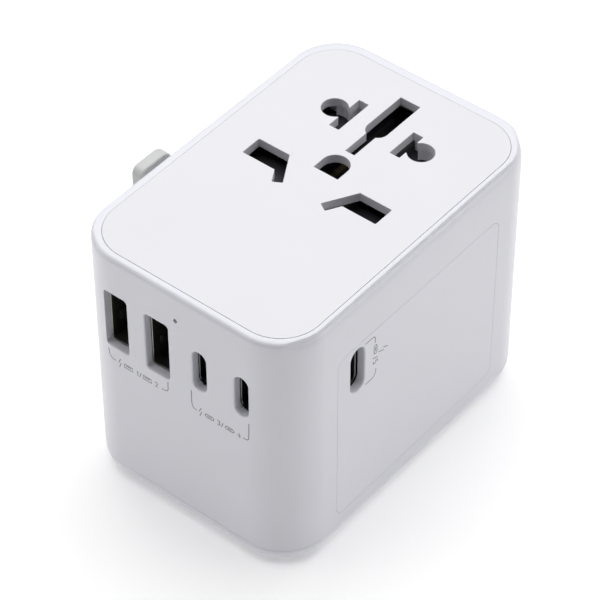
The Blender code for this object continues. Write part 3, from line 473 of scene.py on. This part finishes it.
def uk_au_hole():
    """The left UK hole with the slanted AU slot that leads out of its inner end."""
    low, high = UK_SLOT[1] - UK_SIZE[1] / 2, UK_SLOT[1] + UK_SIZE[1] / 2
    outer, inner = -UK_SLOT[0] - UK_SIZE[0] / 2, -UK_SLOT[0] + UK_SIZE[0] / 2
    along = Vector((math.sin(AU_TILT), -math.cos(AU_TILT)))
    across = Vector((math.cos(AU_TILT), math.sin(AU_TILT))) * (AU_WIDE / 2)
    end = Vector((-AU_SLOT[0], AU_SLOT[1])) + along * AU_REACH
    far, near = end + across, end - across
    join_high = far + along * ((inner - far.x) / along.x)
    join_low = near + along * ((low - near.y) / along.y)
    return softened([(outer, low), join_low, near, far, join_high, (inner, high), (outer, high)], 0.22, 4)


def us_eu_hole(side):
    """A US blade slot merged with the EU round hole beside it."""
    outer, inner = US_X + US_WIDE / 2, US_X - US_WIDE / 2
    half = US_LONG[side] / 2
    meet = math.degrees(math.acos((outer - EU_X) / EU_R))
    points = [Vector((inner, US_ROW - half)), Vector((outer, US_ROW - half))]
    points += arc((EU_X, US_ROW), EU_R, -meet, meet, 28)
    points += [Vector((outer, US_ROW + half)), Vector((inner, US_ROW + half))]
    points = softened(points, HOLE_CORNER, 4)
    return points if side > 0 else mirrored(points)


def earth_hole():
    """The UK earth hole with a rounded front end and the narrow AU earth slot in front of it."""
    drop = math.degrees(math.acos(AU_EARTH_HALF / EARTH_HALF))
    points = [Vector((-AU_EARTH_HALF, AU_EARTH_FRONT)), Vector((AU_EARTH_HALF, AU_EARTH_FRONT))]
    points += arc((0, EARTH_SHOULDER), EARTH_HALF, -drop, 0, 8)
    points += [Vector((EARTH_HALF, EARTH_BACK)), Vector((-EARTH_HALF, EARTH_BACK))]
    points += arc((0, EARTH_SHOULDER), EARTH_HALF, 180, 180 + drop, 8)
    return points


def d_hole():
    return [Vector((-D_HALF, D_FRONT)), Vector((D_HALF, D_FRONT))] + arc((0, D_CENTRE), D_HALF, 0, 180, 24)


COLLAR_SET, COLLAR_WALL, COLLAR_WIDE = 0.15, 0.8, 12.8
COLLAR_ENDS = {-1: (5.3, 58), 1: (5.6, -90)}


def collar_outline(side):
    """The wall behind a US and EU hole, set back a little from the hole's edge."""
    outer = US_X + US_WIDE / 2 + COLLAR_SET
    back = US_ROW + US_LONG[side] / 2 + COLLAR_SET
    centre, radius = (EU_X, US_ROW), EU_R + COLLAR_SET
    start, end = COLLAR_ENDS[side]
    meet = math.degrees(math.acos((outer - EU_X) / radius))
    points = [Vector((start, back)), Vector((outer, back))] + arc(centre, radius, meet, end, 28)
    points += arc(centre, radius + COLLAR_WALL, end, end, 1)[:1]
    for corner in ((COLLAR_WIDE, points[-1].y), (COLLAR_WIDE, back + COLLAR_WALL), (start, back + COLLAR_WALL)):
        points.append(Vector(corner))
    return points if side > 0 else mirrored(points)


def socket_face():
    low, high = span("socket_face_plate")
    under = high.z - PLATE_THICK
    outline = rounded((low.x, high.x), (low.y, high.y), PLATE_CORNER, STEPS)
    plate = raw(slab(outline, "+Z", under, high.z, 0.05, SEAM_EDGE, 3))
    carve(plate, [straight(collar_outline(side), "+Z", low.z, under + 0.4) for side in (-1, 1)], "UNION")
    left = uk_au_hole()
    holes = [left, mirrored(left), us_eu_hole(-1), us_eu_hole(1), earth_hole(), d_hole()]
    carve(plate, [flared(hole, "+Z", high.z, -1, PLATE_THICK + 0.6, 0.1) for hole in holes])
    return plate


# Build: the case

PORT_NODES = {
    "usb_a1": ("-Y", (5.2, 12.8), 0.7),
    "usb_a2": ("-Y", (5.2, 12.8), 0.7),
    "usb_c1": ("-Y", (3.0, 8.9), 1.45),
    "usb_c2": ("-Y", (3.0, 8.9), 1.45),
    "usb_c3": ("+X", (3.8, 9.9), 1.85),
}


def port_place(name):
    """The port's centre in its face's plane."""
    centre = middle(name + "_shell")
    return (centre.x, centre.z) if PORT_NODES[name][0] == "-Y" else (centre.y, centre.z)


COLUMNS = [middle(name).y for name in ("uk_live_pin", "eu_left_pin", "us_carriage")]
TRACK_HALF = 1.7
TRACK_LEVEL, TRACK_TOP, TRACK_FOOT = 46.1, 49.7, 23.1


def comb_track():
    """The selector's track in the left wall: a level run with a downward track for each plug set."""
    points = [(COLUMNS[-1] + TRACK_HALF, TRACK_TOP), (COLUMNS[0] - TRACK_HALF, TRACK_TOP)]
    for column in COLUMNS:
        left, right = column - TRACK_HALF, column + TRACK_HALF
        points += [(left, TRACK_LEVEL), (left, TRACK_FOOT), (right, TRACK_FOOT), (right, TRACK_LEVEL)]
    return softened(points[:2] + points[3:-1], 0.6, 5)


shell = case_shell()
cutters = []
for name, (axis, size, radius) in PORT_NODES.items():
    if axis == "-Y":
        cutters.append(flared(about(port_place(name), size, radius), "-Y", -HALF_Y, 1, WALL + 1, 0.3))
led_place = (middle("led_lens").x, middle("led_lens").z)
cutters.append(flared(circle(led_place, 0.42, 16), "-Y", -HALF_Y, 1, WALL + 1, 0.08))
panel_low, panel_high = span("right_side_panel")
PANEL_GAP = 0.04
panel_outline = rounded((panel_low.y - 0.2, panel_high.y + 0.2), (panel_low.z - 0.2, panel_high.z + 0.2), 2.0)
panel_floor = HALF_X - 0.92
cutters.append(flared(panel_outline, "+X", HALF_X, -1, 0.92, 0.06))
cutters.append(flared(comb_track(), "+X", -HALF_X, 1, WALL + 1, 0.25))
shell = carve(shell, cutters)
side_hole = about(port_place("usb_c3"), *PORT_NODES["usb_c3"][1:])
carve(shell, [straight(side_hole, "+X", HALF_X - WALL - 1, HALF_X)])
piece(shell, "case_shell", "case", CASE_WHITE, ["main_shell"])

panel = raw(slab(grown(panel_outline, -PANEL_GAP), "+X", panel_floor + 0.01, HALF_X, 0.02, 0.06, 3))
carve(panel, [flared(side_hole, "+X", HALF_X, -1, 2, 0.3)])
piece(panel, "side_cover", "case", CASE_WHITE, ["right_side_panel"])

piece(socket_face(), "socket_face", "case", FACE_WHITE, ["socket_face_plate"])

# The base

SCREWS = [f"base_screw_{i}" for i in (1, 2, 3, 4)]
BLADE = (1.5, 6.35)
BLADE_OFFSET = 1.02  # from the blade's centre to the pivot it twists about


def blade_fan(side):
    """The opening that a US blade sweeps as it twists to the AU angle."""
    corners = []
    pivot = Vector((side * US_X, COLUMNS[2] - BLADE_OFFSET))
    for share in (0, 0.25, 0.5, 0.75, 1):
        turn = Matrix.Rotation(-side * AU_TILT * share, 2)
        for corner in about((0, BLADE_OFFSET), (BLADE[0] + 0.8, BLADE[1] + 0.8), 0.3, 3):
            corners.append(pivot + turn @ corner)
    return outer_hull(corners)


def outer_hull(points):
    """The convex outline of some points, anticlockwise."""
    points = sorted(points, key=tuple)
    halves = []
    for run in (points, points[::-1]):
        kept = []
        for p in run:
            while len(kept) > 1 and (kept[-1] - kept[-2]).cross(p - kept[-2]) <= 1e-5:
                kept.pop()
            kept.append(p)
        halves += kept[:-1]
    return halves


FILLET = 4.0
FILLET_STEPS = 14


def case_base():
    rings = []
    for i in range(FILLET_STEPS + 1):
        turn = math.radians(90 * i / FILLET_STEPS)
        rings.append(case_ring((FILLET * (1 - math.sin(turn)), FILLET * (1 - math.cos(turn)))))
    rings[-1] = case_ring((0.0, FOOT - 0.05))
    rings += [case_ring((0.012, FOOT - 0.015)), case_ring((0.04, FOOT)), case_ring((WALL, FOOT))]
    rings += [case_ring((WALL, FOOT - 0.9)), case_ring((WALL + 0.2, FOOT - 1.0))]
    return raw(loft(rings))


def base_openings():
    room = 0.4
    outlines = [blade_fan(-1), blade_fan(1)]
    for name in ("uk_live_pin", "uk_neutral_pin", "uk_earth_pin"):
        low, high = span(name)
        outlines.append(rounded((low.x - room, high.x + room), (low.y - room, high.y + room), 0.6, 4))
    for name in ("eu_left_pin", "eu_right_pin"):
        outlines.append(circle(middle(name).xy, 2.0 + room, 32))
    low, high = span("fuse_drawer")
    outlines.append(rounded((low.x - 0.3, high.x + 0.3), (low.y - 0.3, high.y + 0.3), 0.6, 4))
    for name in SCREWS:
        outlines.append(circle(middle(name).xy, 1.5, 20))
    return outlines


base = case_base()
carve(base, [flared(outline, "+Z", 0.0, 1, 5.0, 0.3) for outline in base_openings()])
carve(base, [flared(circle(middle(name).xy, 2.5, 32), "+Z", 0.0, 1, 1.9, 0.2) for name in SCREWS])
piece(base, "case_base", "case", CASE_WHITE, ["bottom_cover"])

for i, name in enumerate(SCREWS, 1):
    centre = middle(name).xy
    levels = [(0.32, -1.3), (0.34, -0.8), (0.42, -0.42), (0.56, -0.16), (0.76, -0.02), (0.9, 0.0), (1.6, 0.0)]
    levels += [(1.62, -1.0), (2.6, -1.0)]
    for turn in range(12):
        levels += [(2.8 + turn * 0.7, -1.18), (3.15 + turn * 0.7, -1.0)]
    levels += [(11.6, -1.2), (12.0, -1.6)]
    screw = raw(loft(stack(circle(centre, 2.2, 32), "+Z", levels)))
    for size in ((2.7, 0.55), (0.55, 2.7)):
        carve(screw, [straight(about(centre, size, 0.12, 3), "+Z", -0.5, 1.15)])
    piece(screw, f"cover_screw_{i}", "case", STEEL, [name], sharp=30)

drawer_low, drawer_high = span("fuse_drawer")
drawer_y = (drawer_low.y, drawer_high.y)
tray = raw(slab(rounded((drawer_low.x, drawer_high.x), drawer_y, 0.5, 4), "+Z", 0.3, 2.2, 0.25, 0.05, 3))
walls = []
for near, far in ((drawer_low.y, drawer_low.y + 0.9), (drawer_high.y - 0.9, drawer_high.y)):
    outline = rounded((drawer_low.x + 0.02, drawer_high.x - 0.02), (near, far), 0.25, 3)
    walls.append(raw(slab(outline, "+Z", 1.0, drawer_high.z, 0.05, 0.25, 3)))
carve(tray, walls, "UNION")
notch = rounded((-4.5, 4.5), (drawer_low.y + 1.2, drawer_low.y + 3.0), 0.85, 6)
carve(tray, [flared(notch, "+Z", 0.3, 1, 0.8, 0.15)])
piece(tray, "fuse_tray", "drawer", CASE_WHITE, ["fuse_drawer"])

fuse_place = (middle("fuse").y, middle("fuse").z)
fuse_end = span("fuse")[1].x
tube_levels = [(-fuse_end + 0.3, -0.12), (fuse_end - 0.3, -0.12)]
piece(raw(loft(stack(circle(fuse_place, 2.6, 36), "+X", tube_levels))), "fuse_barrel", "drawer",
      CERAMIC, ["fuse"])
cap_levels = [(0.0, -0.55), (0.06, -0.25), (0.2, -0.07), (0.42, 0.0), (3.3, 0.0), (3.4, -0.06), (3.42, -0.2)]
caps = []
for side in (1, -1):
    levels = [(side * (at - fuse_end), grow) for at, grow in cap_levels]
    caps.append(raw(loft(stack(circle(fuse_place, 2.6, 36), "+X", levels))))
piece(merged(caps), "fuse_caps", "drawer", NICKEL, ["fuse"])

# USB ports

SHEET = 0.35
FRONT_REACH, SIDE_REACH = 0.9, 0.2  # how far a metal shell reaches past its CAD node, towards its wall


def strips(centre, across, count, pitch, size, axis, low, high):
    """A row of contact strips: each is a slab in the port's face plane that runs along the port's axis."""
    made = []
    for i in range(count):
        offset = (i - (count - 1) / 2) * pitch
        place = (centre[0] + across, centre[1] + offset)
        edge = size[0] * 0.3
        made.append(raw(slab(about(place, size, edge, 2), axis, low, high, edge, edge, 2)))
    return made


for name in ("usb_a1", "usb_a2"):
    label = name.replace("usb_", "port_")
    place = port_place(name)
    mouth, deep = span(name + "_shell")[0].y, span(name + "_shell")[1].y
    inside = about(place, (4.9, 12.5), 0.4, 5)
    metal = raw(tube(inside, "-Y", mouth - FRONT_REACH, deep, SHEET, 0.0))
    piece(metal, label + "_shell", "case", PORT_NICKEL, [name + "_shell"])
    tongue = about((place[0] + 1.1, place[1]), (1.8, 11.0), 0.3, 3)
    insert = raw(slab(tongue, "-Y", mouth + 0.9, deep - 0.6, 0.3, 0.1, 3))
    carve(insert, [raw(slab(about(place, (4.7, 12.3), 0.3, 3), "-Y", mouth + 8.2, deep - 0.1, 0.2, 0.1, 3))], "UNION")
    piece(insert, label + "_insert", "case", DARK, [name + "_tongue"])
    rows = strips(place, 0.18, 4, 2.5, (0.12, 1.0), "-Y", mouth + 3.2, mouth + 8.4)
    piece(merged(rows), label + "_contacts", "case", GOLD, [name + "_tongue"])
    fingers = []
    for side in (-1, 1):
        wall = place[0] + side * 2.45
        wedge = [(wall + side * 0.1, mouth + 1.05), (wall - side * 0.02, mouth + 1.05)]
        wedge += [(wall - side * 0.42, mouth + 2.1), (wall - side * 0.3, mouth + 2.5)]
        wedge.append((wall + side * 0.1, mouth + 2.6))
        wedge = [Vector(point) for point in (wedge if side > 0 else wedge[::-1])][::-1]
        for height in (place[1] - 2.6, place[1] + 2.6):
            fingers.append(raw(slab(wedge, "+Z", height - 0.95, height + 0.95, 0.03, 0.03, 2)))
    piece(merged(fingers), label + "_springs", "case", PORT_NICKEL, [name + "_shell"])

for name, (axis, size, radius) in PORT_NODES.items():
    if size[0] > 4:
        continue
    label = name.replace("usb_", "port_")
    place = port_place(name)
    low, high = span(name + "_shell")
    mouth, deep, inward = (low.y, high.y, 1) if axis == "-Y" else (high.x, low.x, -1)
    inside = about(place, (2.6, 8.4), 1.25, 8)
    reach = FRONT_REACH if axis == "-Y" else SIDE_REACH
    length = abs(deep - mouth)
    levels = [(0.1 - reach, SHEET), (-reach, 0.25), (-reach, 0.1), (0.1 - reach, 0.0)]
    levels += [(length, 0.0), (length, SHEET)]
    rings = stack(inside, axis, [(mouth + inward * at, grow) for at, grow in levels])
    piece(raw(loft(rings, closed=True)), label + "_shell", "case", DARK_NICKEL, [name + "_shell"])
    ends = sorted((mouth + inward * 0.8, deep - inward * 0.5))
    insert = raw(slab(about(place, (0.7, 6.6), 0.25, 3), axis, *ends, 0.12, 0.12, 3))
    ends = sorted((mouth + inward * 5.6, deep - inward * 0.1))
    carve(insert, [raw(slab(about(place, (2.5, 8.3), 1.1, 6), axis, *ends, 0.15, 0.1, 3))], "UNION")
    piece(insert, label + "_insert", "case", DARK, [name + "_tongue"])
    ends = sorted((mouth + inward * 2.6, mouth + inward * 5.8))
    rows = [strip for side in (-0.36, 0.36) for strip in strips(place, side, 12, 0.5, (0.06, 0.26), axis, *ends)]
    piece(merged(rows), label + "_contacts", "case", GOLD, [name + "_tongue"])

# The status light's lens: a pin in the wall with a flange behind it, as (y, growth)
lens_levels = [(-34.84, -0.2), (-34.8, -0.08), (-34.72, -0.02), (-34.6, 0.0), (-33.1, 0.0)]
lens_levels += [(-33.04, 0.9), (-31.1, 0.9), (-31.0, 0.8), (-30.98, 0.0), (-30.6, -0.02)]
piece(raw(loft(stack(circle(led_place, 0.3, 20), "-Y", lens_levels))), "led_window", "case", LENS,
      ["led_lens"])

# Selector knob and release button

knob_low, knob_high = span("slider_knob")
FINGER_Y = middle("slider_carrier").y
KNOB_INNER = -25.6
outline = arc((knob_high.y - 2.2, knob_low.z + 2.2), 2.2, -90, 0, 8)
outline += arc((knob_high.y - 2.4, knob_high.z - 2.4), 2.4, 0, 90, 8)
outline += arc((knob_low.y + 1.5, knob_high.z - 1.5), 1.5, 90, 180, 8)
outline += arc((knob_low.y + 1.5, knob_low.z + 1.5), 1.5, 180, 270, 8)
knob = raw(slab(outline, "+X", knob_low.x, KNOB_INNER, 0.4, 0.4, 5))
neck = rounded((FINGER_Y - 2.7, FINGER_Y + 2.7), (46.0, 50.2), 0.5, 4)
carve(knob, [raw(slab(neck, "+X", KNOB_INNER - 0.2, knob_high.x, 0.05, 0.15, 3))], "UNION")
button_low, button_high = span("release_button")
pocket = rounded((button_low.y - 0.3, button_high.y + 0.3), (button_low.z - 0.3, button_high.z + 0.3), 1.7, 6)
spring_bore = straight(circle((FINGER_Y, 48.3), 1.5), "+X", -27.0, -24.6)
carve(knob, [flared(pocket, "+X", knob_low.x, 1, 1.9, 0.2), spring_bore])
piece(knob, "selector_knob", "slider", KNOB_GREY, ["slider_knob"])

outline = rounded((button_low.y, button_high.y), (button_low.z, button_high.z), 1.4, 6)
button = raw(slab(outline, "+X", button_low.x, button_high.x, 0.25, 0.1, 4))
ribs = []
for i in range(4):
    rib = about((FINGER_Y, middle("release_button").z + (i - 1.5) * 1.0), (3.0, 0.36), 0.17, 4)
    ribs.append(raw(slab(rib, "+X", button_low.x - 0.2, button_low.x + 0.3, 0.12, 0.05, 3)))
carve(button, ribs, "UNION")
piece(button, "knob_button", "button", KNOB_GREY, ["release_button"])

# Plug pins

for name in ("uk_live_pin", "uk_neutral_pin", "uk_earth_pin"):
    low, high = span(name)
    outline = rounded((low.x, high.x), (low.y, high.y), 0.45, 4)
    levels = [(low.z, 0.7), (low.z + 0.12, 0.76), (low.z + 1.3, 0.95), (low.z + 1.8, 0.99), (low.z + 2.2, 1.0)]
    levels += [(high.z - 0.15, 1.0), (high.z, 0.96)]
    piece(raw(loft(scaled(outline, "+Z", levels))), name + "_bar", "uk_set", BRASS, [name], sharp=50)
    if name != "uk_earth_pin":
        sleeve = tube(outline, "+Z", low.z + 8.3, span("uk_carriage")[0].z + 0.2, 0.06)
        piece(raw(sleeve), name + "_sleeve", "uk_set", DARK, [name])

for name in ("eu_left_pin", "eu_right_pin"):
    low, high = span(name)
    outline = circle(middle(name).xy, 2.0, 32)
    levels = []
    for i in range(1, 9):
        turn = math.radians(90 * i / 8)
        levels.append((low.z + 1.8 * (1 - math.cos(turn)), 0.08 + 0.92 * math.sin(turn)))
    levels += [(high.z - 0.2, 1.0), (high.z, 0.95)]
    piece(raw(loft(scaled(outline, "+Z", levels))), name + "_rod", "eu_set", NICKEL, [name], sharp=50)
    sleeve = tube(outline, "+Z", low.z + 9.0, span("eu_carriage")[0].z + 0.2, 0.06)
    piece(raw(sleeve), name + "_sleeve", "eu_set", DARK, [name])

for name, side, body in (("us_left_blade", -1, "left_blade"), ("us_right_blade", 1, "right_blade")):
    low, high = span(name)
    hub_low = span("us_carriage")[0].z - 0.45
    y_span = (COLUMNS[2] - BLADE[1] / 2, COLUMNS[2] + BLADE[1] / 2)
    outline = rounded(y_span, (low.z, hub_low + 1.6), 1.3, 6)
    x_span = (side * US_X - BLADE[0] / 2, side * US_X + BLADE[0] / 2)
    blade = raw(slab(outline, "+X", *x_span, 0.2, 0.2, 3))
    hole = circle((COLUMNS[2], low.z + 8.4), 1.55, 28)
    carve(blade, [flared(hole, "+X", x_span[0], 1, BLADE[0] + 1, 0.15)])
    hub = slab(circle((side * US_X, COLUMNS[2] - BLADE_OFFSET), 2.9, 40), "+Z", hub_low, high.z, 0.2, 0.25, 3)
    carve(blade, [raw(hub)], "UNION")
    piece(blade, name + "_stamping", body, NICKEL, [name])

# Printed marks, as thin strips that lie on the surface

INK = 0.012
LINE = 0.16
# Strokes of each mark in units of its height, then the advance to the next mark
MARKS = {
    "1": ([[(0.08, 0.78), (0.34, 1.0), (0.34, 0.0)]], 0.7),
    "2": ([[(0.02, 0.76), (0.08, 0.93), (0.22, 1.0), (0.4, 0.98), (0.53, 0.85), (0.53, 0.68), (0.42, 0.5),
            (0.02, 0.02), (0.58, 0.02)]], 0.85),
    "3": ([[(0.03, 0.86), (0.15, 0.98), (0.32, 1.0), (0.47, 0.93), (0.52, 0.77), (0.45, 0.6), (0.28, 0.54),
            (0.46, 0.48), (0.56, 0.33), (0.52, 0.13), (0.36, 0.01), (0.18, 0.0), (0.02, 0.12)]], 0.85),
    "4": ([[(0.46, 0.0), (0.46, 1.0), (0.02, 0.3), (0.62, 0.3)]], 0.85),
    "5": ([[(0.5, 1.0), (0.1, 1.0), (0.06, 0.56), (0.2, 0.63), (0.36, 0.63), (0.52, 0.52), (0.57, 0.33), (0.5, 0.12),
            (0.32, 0.0), (0.14, 0.02), (0.0, 0.13)]], 0.85),
    "/": ([[(0.0, -0.05), (0.36, 1.05)]], 0.75),
    "bolt": ([[(0.55, 1.45), (0.12, 0.52), (0.62, 0.58), (0.22, -0.45)]], 1.3),
    "wide": ([[(0.0, 0.12), (1.75, 0.12), (1.75, 0.88), (0.0, 0.88), (0.0, 0.06)], [(0.3, 0.62), (1.45, 0.62)]], 2.5),
    "pill": ([arc((1.45, 0.5), 0.34, -90, 90, 6) + arc((0.4, 0.5), 0.34, 90, 270, 6) + [(1.45, 0.16)],
              [(0.5, 0.5), (1.35, 0.5)]], 2.5),
}


def on_front(u, v, lift):
    """A place on the front face and its rounded corners, raised by the lift."""
    radius = CORNER if u > 0 else LEFT_CORNER
    past = max(0.0, abs(u) - (HALF_X - radius))
    return (u, -HALF_Y + radius - math.sqrt(radius * radius - past * past) - lift, v)


def on_right(u, v, lift):
    return (HALF_X + lift, u, v)


def on_left(u, v, lift):
    return (-HALF_X - lift, u, v)


def ribbon(bm, points, place):
    """A printed line along some flat points."""
    rows = []
    for i, point in enumerate(points):
        along = (points[min(i + 1, len(points) - 1)] - points[max(i - 1, 0)]).normalized()
        side = Vector((along.y, -along.x)) * (LINE / 2)
        corners = ((point - side, -INK), (point + side, -INK), (point + side, INK), (point - side, INK))
        rows.append([bm.verts.new(place(*flat, lift)) for flat, lift in corners])
    for low, high in zip(rows, rows[1:]):
        for i in range(4):
            bm.faces.new((low[i], low[(i + 1) % 4], high[(i + 1) % 4], high[i]))
    bm.faces.new(reversed(rows[0]))
    bm.faces.new(rows[-1])


def marks(bm, names, start, tall, place, along=(1, 0)):
    """A row of marks from a start point, each scaled to the height."""
    along = Vector(along) * tall
    up = Vector((-along.y, along.x)) if place is not on_left else Vector((along.y, -along.x))
    start = Vector(start)
    for name in names:
        strokes, advance = MARKS[name]
        for stroke in strokes:
            ribbon(bm, [start + along * u + up * v for u, v in stroke], place)
        start = start + along * advance


front_print = bmesh.new()
A_LEFT = [(-16.37, 32.54), (-16.3, 31.7), (-16.12, 31.1), (-15.8, 30.72), (-15.35, 30.54), (-14.73, 30.48)]
A_RIGHT = [(-4.3, 30.4), (-3.6, 30.4), (-3.2, 30.5), (-2.95, 30.75), (-2.85, 31.2), (-2.83, 32.9)]
C_LEFT = [(2.47, 34.4), (2.45, 31.6), (2.55, 30.85), (2.8, 30.45), (3.1, 30.25), (3.51, 30.2)]
C_RIGHT = [(13.69, 30.25), (14.4, 30.27), (14.75, 30.42), (14.93, 30.8), (14.98, 31.4), (15.06, 34.56)]
for path in (A_LEFT, A_RIGHT, C_LEFT, C_RIGHT):
    ribbon(front_print, [Vector(point) for point in path], on_front)
marks(front_print, ["bolt", "wide", "1", "/", "wide", "2"], (-14.2, 29.95), 1.08, on_front)
marks(front_print, ["bolt", "pill", "3", "/", "pill", "4"], (3.95, 29.8), 1.08, on_front)
bmesh.ops.recalc_face_normals(front_print, faces=front_print.faces)
piece(raw(front_print), "front_print", "case", PRINT, weighted=False)

side_print = bmesh.new()
SIDE_TOP = [(-15.0, 43.3), (-12.95, 43.3), (-12.6, 43.2), (-12.4, 42.95), (-12.3, 42.5), (-12.3, 41.6)]
SIDE_FOOT = [(-11.95, 35.2), (-12.05, 34.4), (-12.3, 33.85), (-12.7, 33.58), (-13.2, 33.5), (-14.8, 33.5)]
for path in (SIDE_TOP, SIDE_FOOT):
    ribbon(side_print, [Vector(point) for point in path], on_right)
marks(side_print, ["pill", "/", "5"], (-12.75, 41.0), 1.15, on_right, (0, -1))
marks(side_print, ["bolt"], (-10.7, 38.9), 1.3, on_right, (0, -1))
bmesh.ops.recalc_face_normals(side_print, faces=side_print.faces)
piece(raw(side_print), "side_print", "case", PRINT, weighted=False)

track_print = bmesh.new()
for name, column in zip("123", COLUMNS):
    marks(track_print, [name], (column + 0.4, TRACK_FOOT - 3.4), 1.6, on_left, (-1, 0))
bmesh.ops.recalc_face_normals(track_print, faces=track_print.faces)
piece(raw(track_print), "track_print", "case", PRINT, weighted=False)

# Carried-over nodes get their finish

LOOKS = {
    "slider_carrier": KNOB_GREY, "usb_board": BOARD, "power_board": BOARD, "transformer": TAPE, "choke": FERRITE,
    "live_contact": BRASS, "neutral_contact": BRASS, "earth_contact": BRASS, "shutter_spring": STEEL,
    "button_spring": STEEL, "capacitor_1": DARK, "capacitor_2": DARK,
}
PLAIN_EDGED = {"shutter_spring", "button_spring", "live_contact", "neutral_contact", "earth_contact"}
for name, node in NODES.items():
    node.data.materials.clear()
    node.data.materials.append(LOOKS.get(name, INNER))
    if not node.hide_render and name not in PLAIN_EDGED:
        bevel = node.modifiers.new("edges", "BEVEL")
        bevel.width = 0.2 * MM
        bevel.segments = 2
        bevel.limit_method = "ANGLE"
        bevel.angle_limit = math.radians(50)

# Floor and light

floor_mesh = bmesh.new()
bmesh.ops.create_grid(floor_mesh, x_segments=1, y_segments=1, size=4000.0)
floor = raw(floor_mesh, "floor")
FLOOR_GLOW = 0.24
floor.data.materials.append(
    material(
        "floor_white",
        (0.92, 0.92, 0.92),
        0.7,
        mottle=0.004,
        grain=(300.0, 0.02),
        Emission_Color=(1.0, 1.0, 1.0, 1.0),
        Emission_Strength=FLOOR_GLOW,
    )
)


def softbox(name, place, target, size, power):
    light = bpy.data.lights.new(name, "AREA")
    light.shape = "RECTANGLE"
    light.size, light.size_y = size
    light.energy = power
    obj = bpy.data.objects.new(name, light)
    obj.location = place
    obj.rotation_mode = "QUATERNION"
    obj.rotation_quaternion = (Vector(target) - Vector(place)).to_track_quat("-Z", "Y")
    obj.visible_camera = False
    bpy.context.scene.collection.objects.link(obj)


softbox("top_light", (-0.14, 0.24, 1.0), (0, 0, 0), (1.6, 1.6), 18.2)
softbox("left_light", (-1.2, -0.9, 0.5), (0, 0, 0.03), (0.8, 0.8), 3.0)
softbox("right_light", (1.2, 0.9, 0.5), (0, 0, 0.03), (0.8, 0.8), 2.9)

world = bpy.data.worlds.new("studio")
world.use_nodes = True
world.node_tree.nodes["Background"].inputs["Color"].default_value = (1.0, 1.0, 1.0, 1.0)
world.node_tree.nodes["Background"].inputs["Strength"].default_value = 0.95
for rays in ("diffuse", "glossy", "transmission", "scatter"):
    setattr(world.cycles_visibility, rays, False)
bpy.context.scene.world = world
